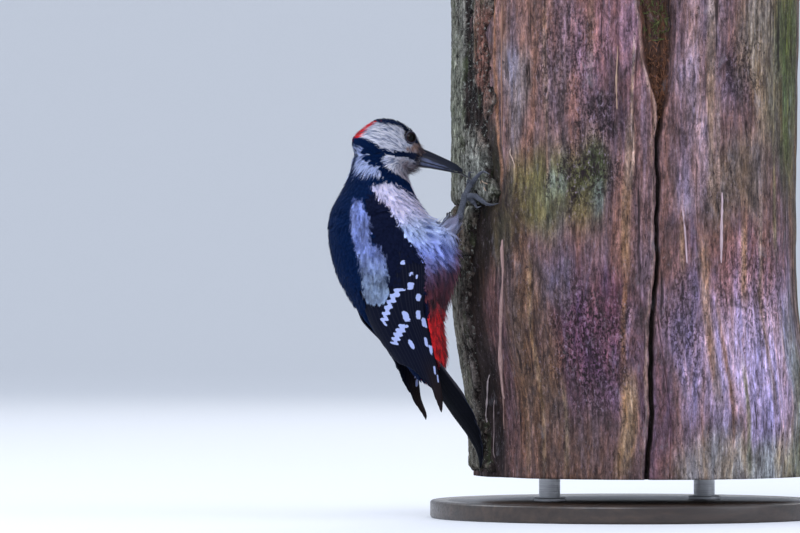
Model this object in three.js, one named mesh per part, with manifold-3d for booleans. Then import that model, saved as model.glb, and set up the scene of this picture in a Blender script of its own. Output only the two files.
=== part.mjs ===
// Great spotted woodpecker, adult male, life size, clinging to a cut length of dead trunk on a plain stand.
// Millimetres, +Z up. The origin is the middle of the base's underside, on the trunk's axis. The bird sits on
// the trunk's -X side with its mid-plane on Y = 0, head up, and its right side is -Y.

import * as THREE from 'three';
import Module from 'manifold-3d';
import { mergeVertices } from 'three/addons/utils/BufferGeometryUtils.js';

// ---- driving dimensions -------------------------------------------------------------------------------

const GAP = 0.3;

const BASE_RADIUS = 112;
const BASE_THICKNESS = 10;
const BASE_EDGE = 2;
const ROD_RADIUS = 6;
const ROD_LENGTH = 14;
const ROD_OFFSET = 48;

const PERCH_RADIUS = 100;
const PERCH_BOTTOM = BASE_THICKNESS + ROD_LENGTH;
const PERCH_TOP = 300;
const PERCH_BEND = 10.5; // how far the trunk's foot steps away from the bird
const BEND_TOP = 132;
const BEND_BOTTOM = 46;
const CRACK_ANGLE = -104; // degrees round from +X, on the bird's right
const CRACK_DEPTH = 9;
const CRACK_WIDTH = 5;
const BARK_LIFT = 0.8; // the bark stands this far off the bare wood
const BARK_THICKNESS = 2.2;
const BARK_BED = 3; // how much narrower the bare wood is than the trunk in its bark
const HOLD_RISE = 5; // how far the knob of bark under the left foot stands out

const HEAD_CENTRE = { x: -47, z: 209 };
const HEAD_PITCH = THREE.MathUtils.degToRad(17); // the bill points down by this much
const BILL_LENGTH = 28;
const BILL_ROOT = 19.6; // ahead of the head's centre
const GAPE_HEIGHT = -1.6; // above the head's centre at the bill's root
const GAPE_RISE = 1.8;
const EYE_RADIUS = 3.6;
const EYE_PLACE = { ahead: 7.5, above: 8.3, aside: 7 };

const WING_SHOULDER = 184;
const WING_TIP = 57;
const WING_TIP_WIDTH = 12;
const WING_CLEARANCE = 8; // how far outside the body the room for a wing runs
const WING_SWAY = { ahead: 1, down: 2.4 }; // how far each wing's tip lies off the mean of the two

const CROWN = 240; // a height above the head
const NECK_TOP = 196;
const NECK_FOOT = 184;
const SLAB_WIDTH = 400;

const TAIL_TOP = 92;
const TAIL_TIP = 28.5;

// ---- shared tools -------------------------------------------------------------------------------------

const wasm = await Module();
wasm.setup();

/** A smooth reading of a short table of rows, by each row's first number. */
function along(rows) {
  const stride = rows[0].length - 1;
  const spline = new THREE.CubicInterpolant(
    rows.map((row) => row[0]),
    rows.flatMap((row) => row.slice(1)),
    stride,
  );
  return (place) => {
    const low = rows[0][0];
    const high = rows[rows.length - 1][0];
    return [...spline.evaluate(THREE.MathUtils.clamp(place, low, high))];
  };
}

/** Turns every triangle over. */
function reversed(geometry) {
  const corners = geometry.index.array;
  for (let i = 0; i < corners.length; i += 3) {
    [corners[i], corners[i + 1]] = [corners[i + 1], corners[i]];
  }
  return geometry;
}

/** Six times the volume inside a closed surface, negative where its faces point inwards. */
function signedVolume(geometry) {
  const spots = geometry.attributes.position;
  const corners = geometry.index.array;
  const [a, b, c] = [new THREE.Vector3(), new THREE.Vector3(), new THREE.Vector3()];
  let volume = 0;
  for (let i = 0; i < corners.length; i += 3) {
    a.fromBufferAttribute(spots, corners[i]);
    b.fromBufferAttribute(spots, corners[i + 1]);
    c.fromBufferAttribute(spots, corners[i + 2]);
    volume += a.dot(b.cross(c));
  }
  return volume;
}

/** Only the positions, with shared corners merged, so that the surface is closed and faces out. */
function closed(geometry) {
  geometry.deleteAttribute('normal');
  geometry.deleteAttribute('uv');
  const merged = mergeVertices(geometry, 1e-3);
  return signedVolume(merged) < 0 ? reversed(merged) : merged;
}

/** Moves every corner of a geometry to the point that place gives for it. */
function moulded(geometry, place) {
  const spots = geometry.attributes.position;
  const corner = new THREE.Vector3();
  for (let i = 0; i < spots.count; i += 1) {
    corner.fromBufferAttribute(spots, i);
    const moved = place(corner);
    spots.setXYZ(i, moved.x, moved.y, moved.z);
  }
  return closed(geometry);
}

/** A ball drawn out into a body: place(share, angle) is its surface, share running from pole to pole. */
function drawnBall(around, rows, place) {
  return moulded(new THREE.SphereGeometry(1, around, rows), (corner) => {
    const share = Math.acos(THREE.MathUtils.clamp(corner.y, -1, 1)) / Math.PI;
    const rim = Math.hypot(corner.x, corner.z) < 1e-6;
    return place(share, rim ? 0 : Math.atan2(corner.z, corner.x));
  });
}

/** A thin block bent into a plate: place(across, down, depth), each running from 0 to 1. */
function bentPlate(columns, rows, place) {
  return moulded(new THREE.BoxGeometry(1, 1, 1, columns, rows, 1), (corner) =>
    place(corner.x + 0.5, 0.5 - corner.y, corner.z + 0.5));
}

/** How full a drawn ball is near its ends: 0 at both poles, 1 in between. */
function roundedEnds(share, start, end) {
  const near = Math.min(share / start, (1 - share) / end, 1);
  return Math.sqrt(Math.max(0, near * (2 - near)));
}

/** A round limb along a path, with its radii read off evenly from foot to tip. */
function limb(path, radii, around = 8, rows = 10, grow = 0) {
  const curve = new THREE.CatmullRomCurve3(path.map((point) => new THREE.Vector3(...point)));
  const radiusAt = along(radii.map((radius, i) => [i / (radii.length - 1), radius]));
  return drawnBall(around, rows, (share, angle) => {
    const middle = curve.getPointAt(share);
    const ahead = curve.getTangentAt(share);
    const side = new THREE.Vector3(0.31, 0.9, 0.31).cross(ahead).normalize();
    const up = ahead.clone().cross(side);
    const rounding = roundedEnds(share, 0.12, 0.06);
    const radius = (radiusAt(share)[0] + grow) * rounding;
    const overrun = share < 0.5 ? -grow : grow;
    return middle
      .addScaledVector(side, radius * Math.cos(angle))
      .addScaledVector(up, radius * Math.sin(angle))
      .addScaledVector(ahead, overrun);
  });
}

function toSolid(geometry) {
  return new wasm.Manifold(new wasm.Mesh({
    numProp: 3,
    vertProperties: new Float32Array(geometry.attributes.position.array),
    triVerts: new Uint32Array(geometry.index.array),
  }));
}

function toGeometry(solid) {
  const mesh = solid.getMesh();
  const geometry = new THREE.BufferGeometry();
  geometry.setAttribute('position', new THREE.BufferAttribute(mesh.vertProperties, 3));
  geometry.setIndex(new THREE.BufferAttribute(mesh.triVerts, 1));
  return geometry;
}

/** A slab wider than the bird, between two heights. */
function slab(low, high) {
  const box = new THREE.BoxGeometry(SLAB_WIDTH, SLAB_WIDTH, high - low);
  box.translate(0, 0, (low + high) / 2);
  return toSolid(closed(box));
}

/** The same shape on the bird's other side. */
function mirrored(geometry) {
  return reversed(geometry.clone().scale(1, -1, 1));
}

function finish(colour, roughness, metalness = 0) {
  return new THREE.MeshStandardMaterial({ color: colour, roughness, metalness });
}

const FINISHES = {
  black: finish(0x14161f, 0.55),
  white: finish(0xdcdbe4, 0.8),
  buff: finish(0xc9c2c4, 0.85),
  horn: finish(0x3b3e45, 0.4),
  eye: finish(0x160d0b, 0.08),
  leg: finish(0x6c6f6e, 0.6),
  wood: finish(0x7d6560, 0.9),
  bark: finish(0x7c8170, 0.95),
  stand: finish(0x2c2a28, 0.6),
};

const model = new THREE.Group();
const bird = new THREE.Group();
bird.position.x = -PERCH_RADIUS;
model.add(bird);

function add(group, name, geometry, material) {
  const mesh = new THREE.Mesh(geometry, material);
  mesh.name = name;
  group.add(mesh);
  return mesh;
}

// ---- trunk of the tree --------------------------------------------------------------------------------

/** How far the trunk's axis has stepped towards +X at a height. */
const bendAt = (height) =>
  PERCH_BEND * (1 - THREE.MathUtils.smoothstep(height, BEND_BOTTOM, BEND_TOP));

/** The trunk's radius: slow swellings and flutes that a dead trunk has. */
function trunkRadius(angle, height) {
  const flutes = 1.1 * Math.sin(3 * angle + 0.9) + 0.7 * Math.sin(7 * angle + height / 90);
  const swelling = 0.6 * Math.sin(height / 37 + angle);
  const facing = 0.5 - 0.5 * Math.cos(angle);
  return PERCH_RADIUS - BARK_BED + (flutes + swelling) * (1 - facing ** 3);
}

/** A point on the trunk on the bird's side, in the bird's own frame, standing out by rise. */
function onTrunk(aside, height, rise) {
  const reach = PERCH_RADIUS + rise;
  const depth = reach - Math.sqrt(reach ** 2 - aside ** 2);
  return [depth - rise + bendAt(height), aside, height];
}

function trunkWood() {
  const length = PERCH_TOP - PERCH_BOTTOM;
  const cylinder = new THREE.CylinderGeometry(1, 1, 1, 36, 14);
  const round = moulded(cylinder, (corner) => {
    const angle = Math.atan2(-corner.z, corner.x);
    const height = PERCH_BOTTOM + (corner.y + 0.5) * length;
    const reach = Math.hypot(corner.x, corner.z) * trunkRadius(angle, height);
    return new THREE.Vector3(
      reach * Math.cos(angle) + bendAt(height),
      reach * Math.sin(angle),
      height,
    );
  });
  const wedge = new THREE.Shape();
  wedge.moveTo(PERCH_RADIUS - CRACK_DEPTH, 0);
  wedge.lineTo(PERCH_RADIUS + CRACK_DEPTH, -CRACK_WIDTH);
  wedge.lineTo(PERCH_RADIUS + CRACK_DEPTH, CRACK_WIDTH);
  const crack = new THREE.ExtrudeGeometry(wedge, { depth: 2 * length, bevelEnabled: false });
  crack.rotateZ(THREE.MathUtils.degToRad(CRACK_ANGLE));
  return toGeometry(toSolid(round).subtract(toSolid(closed(crack))));
}

/** How far the knob of bark that the left foot grips stands out, by height and by degrees from -X. */
function holdRise(height, turn) {
  const tall = THREE.MathUtils.smoothstep(height, 150, 160) * (1 - THREE.MathUtils.smoothstep(height, 170, 178));
  return HOLD_RISE * tall * THREE.MathUtils.smoothstep(turn, 5, 11);
}

/** A plate of bark on the trunk, between two angles from -X, thinning out to a ragged rim. */
function barkPlate(from, to, low, high, columns, rows) {
  return bentPlate(columns, rows, (across, down, depth) => {
    const height = THREE.MathUtils.lerp(high, low, down);
    const ragged = 1.9 * Math.sin(height / 9) + 1.2 * Math.sin(height / 4.1 + 1);
    const turn = THREE.MathUtils.lerp(from + ragged, to - ragged, across);
    const angle = Math.PI - THREE.MathUtils.degToRad(turn);
    const rim = Math.min(1, 5 * Math.min(across, 1 - across) + 0.25, 9 * Math.min(down, 1 - down) + 0.3);
    const thickness = (BARK_THICKNESS + holdRise(height, turn)) * rim;
    const reach = trunkRadius(angle, height) + BARK_LIFT + thickness * depth;
    return new THREE.Vector3(
      reach * Math.cos(angle) + bendAt(height),
      reach * Math.sin(angle),
      height,
    );
  });
}

add(model, 'perch_wood', trunkWood(), FINISHES.wood);
add(model, 'perch_bark_upper', barkPlate(-16, 42, 177.5, 298, 7, 8), FINISHES.bark);
add(model, 'perch_bark_hold', barkPlate(-8, 29, 149, 176.5, 8, 6), FINISHES.bark);
add(model, 'perch_bark_lower', barkPlate(-7, 34, 27, 148, 5, 10), FINISHES.bark);

// ---- head, neck and trunk of the body -----------------------------------------------------------------

/** A point of the head, from how far ahead of, above and aside from its centre it lies. */
function headPoint(ahead, above, aside) {
  const cos = Math.cos(HEAD_PITCH);
  const sin = Math.sin(HEAD_PITCH);
  return new THREE.Vector3(
    HEAD_CENTRE.x + ahead * cos + above * sin,
    aside,
    HEAD_CENTRE.z - ahead * sin + above * cos,
  );
}

// ahead of the head's centre; crown, throat; half width
const headAt = along([
  [-21, 7, -9, 8],
  [-17, 8.6, -11.5, 10.2],
  [-12, 12.8, -13.5, 11.9],
  [-6, 15.6, -14.5, 12.9],
  [0, 16.5, -15, 13.1],
  [6, 15.7, -15, 12.3],
  [11, 14.1, -13.6, 10.3],
  [15, 11.4, -11.2, 8.2],
  [19, 7.9, -8.4, 6.2],
  [23.5, 5.4, -5.4, 4.8],
]);

function headBall() {
  const [back, front] = [-21, 23.5];
  return drawnBall(20, 16, (share, angle) => {
    const run = (1 - Math.cos(share * Math.PI)) / 2;
    const ahead = THREE.MathUtils.lerp(back, front, run);
    const [crown, throat, half] = headAt(ahead);
    const rounding = roundedEnds(run, 0.26, 0.07);
    const middle = (crown + throat) / 2;
    const above = middle + ((crown - throat) / 2) * rounding * Math.sin(angle);
    const cheek = 1 - 0.1 * Math.max(0, Math.sin(angle));
    return headPoint(ahead, above, half * rounding * cheek * Math.cos(angle));
  });
}

// height; back, front; half width
const bodyAt = along([
  [76, -31, -13.5, 6.5],
  [86, -35, -11.6, 9.5],
  [96, -42, -11.6, 12.5],
  [106, -55, -13.5, 16.5],
  [116, -63, -15, 20],
  [126, -70, -11.5, 23],
  [136, -75.6, -7, 25.2],
  [146, -79.1, -5, 26.3],
  [156, -81, -8.5, 26.3],
  [166, -81.5, -17.6, 25],
  [176, -79.2, -27.5, 21.8],
  [186, -72.8, -33, 17],
  [196, -68.6, -35.5, 14],
  [210, -66.6, -36, 12],
]);


function bodyBall() {
  const [low, high] = [76, 210];
  return drawnBall(22, 20, (share, angle) => {
    const run = (1 - Math.cos(share * Math.PI)) / 2;
    const height = THREE.MathUtils.lerp(high, low, run);
    const [back, front, half] = bodyAt(height);
    const rounding = roundedEnds(run, 0.05, 0.1);
    return new THREE.Vector3(
      (back + front) / 2 + ((front - back) / 2) * rounding * Math.cos(angle),
      half * rounding * Math.sin(angle),
      height,
    );
  });
}

// ---- wings --------------------------------------------------------------------------------------------

// height; back and front of the outline the wing lies on, its half width; thickness; turns of the wing's
// inner and outer edge round from the back, in degrees
const wingAt = along([
  [57, -27, -12, 9.4, 0.9, 86, 96],
  [64, -32.6, -9.6, 11.2, 1.2, 75, 101],
  [72, -34.8, -10.6, 13.2, 1.6, 65, 104],
  [77, -37.8, -11.2, 14.4, 1.9, 50, 105],
  [82, -40.6, -11.8, 15.5, 2.2, 14, 106],
  [90, -46, -12.2, 16.8, 2.6, 8, 107],
  [106, -57, -13.5, 18.6, 3.4, 7, 107],
  [116, -63.2, -15, 20.4, 4, 9, 107],
  [126, -70, -11.5, 23, 4.6, 12, 104],
  [136, -75.6, -7, 25.2, 5, 15, 98],
  [146, -79.1, -5, 26.3, 5.2, 18, 96],
  [156, -81, -8.5, 26.3, 5.2, 21, 95.5],
  [166, -81.5, -17.6, 25, 5, 23, 96],
  [176, -79.2, -27.5, 21.8, 4.4, 26, 84],
  [184, -74, -32.4, 17.8, 3, 34, 70],
]);

/**
 * The right wing, or with sway 1 the mirror of the left one, whose tip hangs lower. Grown, it is the room that
 * the wing takes out of the body: wider and deeper by grow, and open to the outside.
 */
function wingPlate(sway, grow = 0) {
  const [tip, shoulder] = [WING_TIP - grow, WING_SHOULDER + grow];
  const widening = grow / WING_TIP_WIDTH;
  const outside = grow > 0 ? -WING_CLEARANCE : 0;
  return bentPlate(7, 17, (across, down, depth) => {
    const height = THREE.MathUtils.lerp(shoulder, tip, down ** 0.85);
    const [back, front, half, full, inner, outer] = wingAt(height);
    const slip = sway * down ** 3;
    const share = THREE.MathUtils.lerp(-widening, 1 + widening, across);
    const turn = THREE.MathUtils.degToRad(THREE.MathUtils.lerp(inner, outer, share));
    const edge = Math.sqrt(Math.max(0, Math.sin(Math.PI * across)));
    const thickness = full * (0.3 + 0.7 * edge);
    const inset = THREE.MathUtils.lerp(outside, thickness + grow, depth);
    return new THREE.Vector3(
      (back + front) / 2 - ((front - back) / 2 - inset) * Math.cos(turn) - WING_SWAY.ahead * slip,
      -(half - inset) * Math.sin(turn),
      height - WING_SWAY.down * slip,
    );
  });
}

add(bird, 'wing_right', wingPlate(-1), FINISHES.black);
add(bird, 'wing_left', mirrored(wingPlate(1)), FINISHES.black);

// ---- tail ---------------------------------------------------------------------------------------------

// height; middle line's X; half width; fall of the edges towards the trunk; thickness
const tailAt = along([
  [28.5, 9.4, 2.6, 0.1, 1],
  [34, 8.9, 5.2, 0.6, 1.4],
  [40, 6.9, 8, 2, 1.8],
  [48, 1.8, 10.6, 3.6, 2.2],
  [58, -6.2, 12.6, 5, 2.5],
  [68, -13.6, 12.6, 5.2, 2.8],
  [78, -20.4, 11.6, 4.4, 3],
  [92, -28.5, 9.4, 2.4, 3.2],
]);

function tailPlate(grow) {
  return bentPlate(8, 12, (across, down, depth) => {
    const height = THREE.MathUtils.lerp(TAIL_TOP + grow, TAIL_TIP - grow, down);
    const [middle, half, fall, full] = tailAt(height);
    const side = 2 * across - 1;
    const thickness = full * (1 - 0.55 * Math.abs(side)) + 2 * grow;
    const drop = fall * side ** 2;
    return new THREE.Vector3(
      middle + drop + thickness * (depth - 0.5),
      side * (half + grow),
      height + 0.35 * drop,
    );
  });
}

add(bird, 'tail', tailPlate(0), FINISHES.black);

// ---- legs ---------------------------------------------------------------------------------------------

const LEGS = {
  right: {
    hip: [-27, -13, 146],
    heel: [-9.9, -16.2, 170.4],
    ankle: [-5.4, -13.4, 182],
    toes: [
      [[-13.6, 188.7, 2.6], [-18.1, 192, 2.3], [-20.4, 193.8, 2.1]],
      [[-11, 187, 2.6], [-10.4, 190, 2.3], [-10.3, 191.6, 2.1]],
      [[-17.3, 182, 2.6], [-22.3, 180, 2.3], [-26.6, 178, 2.1]],
      [[-13.6, 180.2, 2.6], [-15.6, 178.6, 2.2], [-16.7, 177.6, 2]],
    ],
    claws: [
      [[-21.6, 194.6], [-26, 195.6], [-28.8, 194]],
      [[-10.4, 193], [-11.4, 195.2], [-13.6, 195.2]],
      [[-28.1, 177.4], [-33.2, 177], [-36.4, 178]],
      [[-17.7, 176.8], [-19.6, 175.6], [-21.1, 176.4]],
    ],
    rise: 0,
  },
  left: {
    hip: [-27, 13, 136],
    heel: [-13.4, 17, 149.6],
    ankle: [-9, 19.6, 159.4],
    toes: [
      [[23.5, 164.6, 4.4], [26, 168.2, 4.4], [27.6, 170, 2.9]],
      [[20, 165.2, 4.4], [19.6, 168.4, 4.2], [19.8, 170, 2.9]],
      [[24.6, 161.4, 4], [29.4, 160.8, 3.6], [33, 160.4, 2.9]],
      [[20.8, 157.8, 4], [22, 155.8, 3.4], [22.8, 154.6, 2.9]],
    ],
    claws: [
      [[28.4, 171, 2.9], [31, 172.6, 2.6], [33.2, 171.6, 0.7]],
      [[20.1, 171.2, 2.9], [21.2, 173, 2.6], [23.2, 172.8, 0.7]],
      [[34.3, 160.3, 2.9], [37, 160, 2.6], [39.2, 160.8, 0.7]],
      [[23.4, 153.8, 2.9], [25, 152.8, 2.4], [26.6, 153.6, 0.4]],
    ],
    rise: 5.1,
  },
};

function thigh(leg, grow) {
  const knee = leg.hip.map((value, i) => THREE.MathUtils.lerp(value, leg.heel[i], 0.55));
  knee[0] -= 1;
  return limb([leg.hip, knee, leg.heel], [10, 9.6, 7.6, 4.9, 2.3], 10, 9, grow);
}

function tarsus(leg) {
  const start = new THREE.Vector3(...leg.heel);
  const end = new THREE.Vector3(...leg.ankle);
  const axis = end.clone().sub(start).normalize();
  start.addScaledVector(axis, 0.5);
  const middle = start.clone().lerp(end, 0.5);
  middle.x -= 0.4;
  return limb([start.toArray(), middle.toArray(), end.toArray()], [1.7, 1.4, 1.3, 1.4, 1.7], 7, 6);
}

/** Four toes, joined where they meet at the ankle. */
function foot(leg, grow = 0) {
  const ankle = new THREE.Vector3(...leg.ankle);
  const heel = new THREE.Vector3(...leg.heel);
  ankle.addScaledVector(ankle.clone().sub(heel).normalize(), 2.3);
  const toes = leg.toes.map((joints) => {
    const path = joints.map(([aside, height, rise]) => onTrunk(aside, height, rise + leg.rise));
    return toSolid(limb([ankle.toArray(), ...path], [1.9, 1.5, 1.3, 1.25, 1], 7, 7, grow));
  });
  return toes.reduce((joined, toe) => joined.add(toe));
}

/** A hooked claw whose point comes down to the trunk. */
function claw(points, rise) {
  const rises = [2.1, 2.5, 0.7];
  const path = points.map(([aside, height, own], i) => onTrunk(aside, height, (own ?? rises[i]) + rise));
  return limb(path, [1, 0.9, 0.65, 0.25], 6, 6);
}

const tailRoom = toSolid(tailPlate(GAP));
const wingRoom = toSolid(wingPlate(-1, GAP));
const otherWingRoom = toSolid(mirrored(wingPlate(1, GAP)));

for (const [side, leg] of Object.entries(LEGS)) {
  const flesh = toSolid(thigh(leg, 0)).subtract(wingRoom).subtract(otherWingRoom);
  add(bird, `thigh_${side}`, toGeometry(flesh), FINISHES.buff);
  add(bird, `tarsus_${side}`, toGeometry(toSolid(tarsus(leg)).subtract(foot(leg, GAP))), FINISHES.leg);
  add(bird, `foot_${side}`, toGeometry(foot(leg)), FINISHES.leg);
  leg.claws.forEach((points, i) => {
    add(bird, `claw_${side}_${i + 1}`, claw(points, leg.rise), FINISHES.horn);
  });
}

// ---- bill, tongue and eyes ----------------------------------------------------------------------------

/** Half of the bill: a chisel-ended wedge, flat where the two halves meet at the gape. */
function billHalf({ reach, height, width, tip, up }, grow = 0) {
  return bentPlate(6, 8, (across, down, depth) => {
    const taper = 1 - down ** 1.1;
    const side = (2 * across - 1) * (width * taper + 0.9 + grow);
    const crest = Math.cos((across - 0.5) * Math.PI * 0.8);
    const rise = (height * taper + tip + grow) * crest * depth + GAP / 2 - grow * (1 - depth);
    const ahead = THREE.MathUtils.lerp(BILL_ROOT - 3 * grow, BILL_ROOT + reach + 3 * grow, down);
    return headPoint(ahead, GAPE_HEIGHT + GAPE_RISE * down + up * rise, side);
  });
}

/** The tongue's end, out past the bill's tip and bent to the right along the bark. */
function tongue() {
  const path = [[-2.2, -1.7, 194.6], [-1.5, -5, 193.6], [-1.1, -9.4, 192]];
  return limb(path, [0.3, 0.35, 0.3, 0.25], 6, 6);
}

function eyeball(side, grow = 0) {
  const ball = new THREE.SphereGeometry(EYE_RADIUS + grow, 12, 8);
  const place = headPoint(EYE_PLACE.ahead, EYE_PLACE.above, side * EYE_PLACE.aside);
  ball.translate(place.x, place.y, place.z);
  return closed(ball);
}

const BILL = {
  upper: { reach: BILL_LENGTH, height: 5.3, width: 3.7, tip: 1.2, up: 1 },
  lower: { reach: BILL_LENGTH - 1, height: 2, width: 3.3, tip: 0.7, up: -1 },
};
for (const [half, sizes] of Object.entries(BILL)) {
  add(bird, `bill_${half}`, billHalf(sizes), FINISHES.horn);
}
add(bird, 'tongue', tongue(), FINISHES.horn);
add(bird, 'eye_right', eyeball(-1), FINISHES.eye);
add(bird, 'eye_left', eyeball(1), FINISHES.eye);

// ---- the body, cut where head, neck and trunk part -----------------------------------------------------

let whole = toSolid(headBall()).add(toSolid(bodyBall()));
const cutters = [
  wingRoom,
  otherWingRoom,
  tailRoom,
  toSolid(thigh(LEGS.right, GAP)),
  toSolid(thigh(LEGS.left, GAP)),
  toSolid(eyeball(-1, GAP)),
  toSolid(eyeball(1, GAP)),
  toSolid(billHalf(BILL.upper, GAP)),
  toSolid(billHalf(BILL.lower, GAP)),
];
for (const cutter of cutters) {
  whole = whole.subtract(cutter);
}

add(bird, 'head', toGeometry(whole.intersect(slab(NECK_TOP + GAP, CROWN))), FINISHES.white);
add(bird, 'neck', toGeometry(whole.intersect(slab(NECK_FOOT + GAP, NECK_TOP))), FINISHES.black);
add(bird, 'trunk', toGeometry(whole.intersect(slab(0, NECK_FOOT))), FINISHES.buff);

// ---- stand --------------------------------------------------------------------------------------------

function base() {
  const profile = [
    new THREE.Vector2(0, 0),
    new THREE.Vector2(BASE_RADIUS, 0),
    new THREE.Vector2(BASE_RADIUS, BASE_THICKNESS - BASE_EDGE),
    new THREE.Vector2(BASE_RADIUS - BASE_EDGE, BASE_THICKNESS),
    new THREE.Vector2(0, BASE_THICKNESS),
  ];
  const disc = new THREE.LatheGeometry(profile, 36);
  disc.rotateX(Math.PI / 2);
  return closed(disc);
}

function rod(side) {
  const bar = new THREE.CylinderGeometry(ROD_RADIUS, ROD_RADIUS, ROD_LENGTH - 2 * GAP, 16);
  bar.rotateX(Math.PI / 2);
  bar.translate(side * ROD_OFFSET, 0, BASE_THICKNESS + ROD_LENGTH / 2);
  return closed(bar);
}

add(model, 'stand_base', base(), FINISHES.stand);
add(model, 'stand_rod_front', rod(-1), FINISHES.stand);
add(model, 'stand_rod_back', rod(1), FINISHES.stand);

export default model;
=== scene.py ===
"""Great spotted woodpecker, life size, clinging to a cut length of dead trunk on a plain stand."""

import math

import bmesh
import bpy
import numpy as np
from mathutils import Matrix, Vector, noise
from mathutils.bvhtree import BVHTree
from mathutils.kdtree import KDTree


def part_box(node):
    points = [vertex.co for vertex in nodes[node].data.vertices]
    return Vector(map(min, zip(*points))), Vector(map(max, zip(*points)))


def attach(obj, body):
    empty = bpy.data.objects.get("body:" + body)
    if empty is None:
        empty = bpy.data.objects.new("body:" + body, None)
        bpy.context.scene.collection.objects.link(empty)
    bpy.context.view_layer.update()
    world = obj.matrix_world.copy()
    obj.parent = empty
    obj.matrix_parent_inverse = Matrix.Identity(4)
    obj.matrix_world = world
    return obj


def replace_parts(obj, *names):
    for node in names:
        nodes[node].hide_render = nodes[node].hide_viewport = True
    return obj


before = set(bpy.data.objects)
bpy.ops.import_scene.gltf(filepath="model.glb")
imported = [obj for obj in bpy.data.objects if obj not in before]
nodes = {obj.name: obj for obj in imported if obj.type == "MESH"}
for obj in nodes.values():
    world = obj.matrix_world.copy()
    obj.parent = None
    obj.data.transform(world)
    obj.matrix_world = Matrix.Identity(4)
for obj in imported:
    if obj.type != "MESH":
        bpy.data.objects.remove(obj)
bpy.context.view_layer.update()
MM = 0.001

# ---- camera ----
# A long lens stands four metres off at the height of the bird's belly. It looks at the bird's right side
# from a little behind it.

AIM = Vector((-0.1197, 0.0484, 0.1425))
CAMERA_DISTANCE = 4.0
CAMERA_AZIMUTH = math.radians(-22)
CAMERA_LENS = 316.8


def placed(name, data):
    piece = bpy.data.objects.new(name, data)
    bpy.context.scene.collection.objects.link(piece)
    return piece


camera_data = bpy.data.cameras.new("camera")
camera_data.lens = CAMERA_LENS
camera_data.sensor_width = 36.0
camera_data.clip_end = 60.0
camera = placed("camera", camera_data)
to_camera = Vector((math.sin(CAMERA_AZIMUTH), -math.cos(CAMERA_AZIMUTH), 0.0))
camera.location = AIM + CAMERA_DISTANCE * to_camera
camera.rotation_euler = (math.radians(90), 0.0, CAMERA_AZIMUTH)
bpy.context.scene.camera = camera


# ---- studio ----
# A pale floor that sweeps up into a round wall a long way off, so that no horizon shows, and soft lights.


def add_node(tree, kind, inputs=None, **settings):
    """A shader node with its settings. An input given as a socket is linked, and any other is set."""
    node = tree.nodes.new("ShaderNode" + kind)
    for name, value in settings.items():
        setattr(node, name, value)
    for name, value in (inputs or {}).items():
        if isinstance(value, bpy.types.NodeSocket):
            tree.links.new(value, node.inputs[name])
        else:
            node.inputs[name].default_value = value
    return node


def ramp(tree, value, stops):
    """A soft step or a run of colours: stops are (place, grey or colour)."""
    node = add_node(tree, "ValToRGB", {"Fac": value})
    elements = node.color_ramp.elements
    while len(elements) < len(stops):
        elements.new(0.5)
    for element, (place, colour) in zip(elements, stops):
        element.position = place
        shade = (colour,) * 3 if isinstance(colour, (int, float)) else colour
        element.color = (*shade, 1.0)
    return node.outputs["Color"]


def new_material(name, **constants):
    """A Principled material. The constants are set on the shader's own sockets."""
    material = bpy.data.materials.new(name)
    material.use_nodes = True
    tree = material.node_tree
    shader = tree.nodes["Principled BSDF"]
    for socket, value in constants.items():
        shader.inputs[socket.replace("_", " ")].default_value = value
    return material, tree, shader


def object_places(tree, scale=(1.0, 1.0, 1.0)):
    """Object coordinates, drawn out along the axes whose scale is small."""
    places = add_node(tree, "TexCoord").outputs["Object"]
    return add_node(tree, "Mapping", {"Vector": places, "Scale": scale}).outputs["Vector"]


def cloud(tree, places, scale, detail=4.0, roughness=0.5, distortion=0.0):
    inputs = {
        "Vector": places, "Scale": scale, "Detail": detail, "Roughness": roughness, "Distortion": distortion,
    }
    return add_node(tree, "TexNoise", inputs).outputs["Fac"]


def bump(tree, shader, height, distance, strength=1.0):
    inputs = {"Height": height, "Distance": distance, "Strength": strength}
    tree.links.new(add_node(tree, "Bump", inputs).outputs["Normal"], shader.inputs["Normal"])


def coloured(tree, shader, colour, roughness=None):
    tree.links.new(colour, shader.inputs["Base Color"])
    if roughness:
        tree.links.new(ramp(tree, *roughness), shader.inputs["Roughness"])


def finished(name, shape, material):
    """A piece from a finished bmesh, whose place is in its mesh."""
    mesh = bpy.data.meshes.new(name)
    shape.to_mesh(mesh)
    shape.free()
    mesh.materials.append(material)
    mesh.shade_smooth()
    return placed(name, mesh)


FLOOR_FLAT = 5.5
FLOOR_RIM = 9.5
FLOOR_WALL = 4.0


def sewn(shape, gap=1e-6):
    """Joins corners that meet and turns all faces outwards."""
    bmesh.ops.remove_doubles(shape, verts=shape.verts, dist=gap)
    bmesh.ops.recalc_face_normals(shape, faces=shape.faces)
    return shape


def spun(shape, parts, steps):
    bmesh.ops.spin(
        shape, geom=parts, steps=steps, cent=(0, 0, 0), axis=(0, 0, 1), angle=math.tau, use_merge=True
    )
    return sewn(shape)


def turned(profile, steps):
    """A solid of revolution about Z from (radius, height) pairs that start on the axis."""
    shape = bmesh.new()
    corners = [shape.verts.new((radius, 0.0, height)) for radius, height in profile]
    return spun(shape, corners + [shape.edges.new(pair) for pair in zip(corners, corners[1:])], steps)


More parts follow.
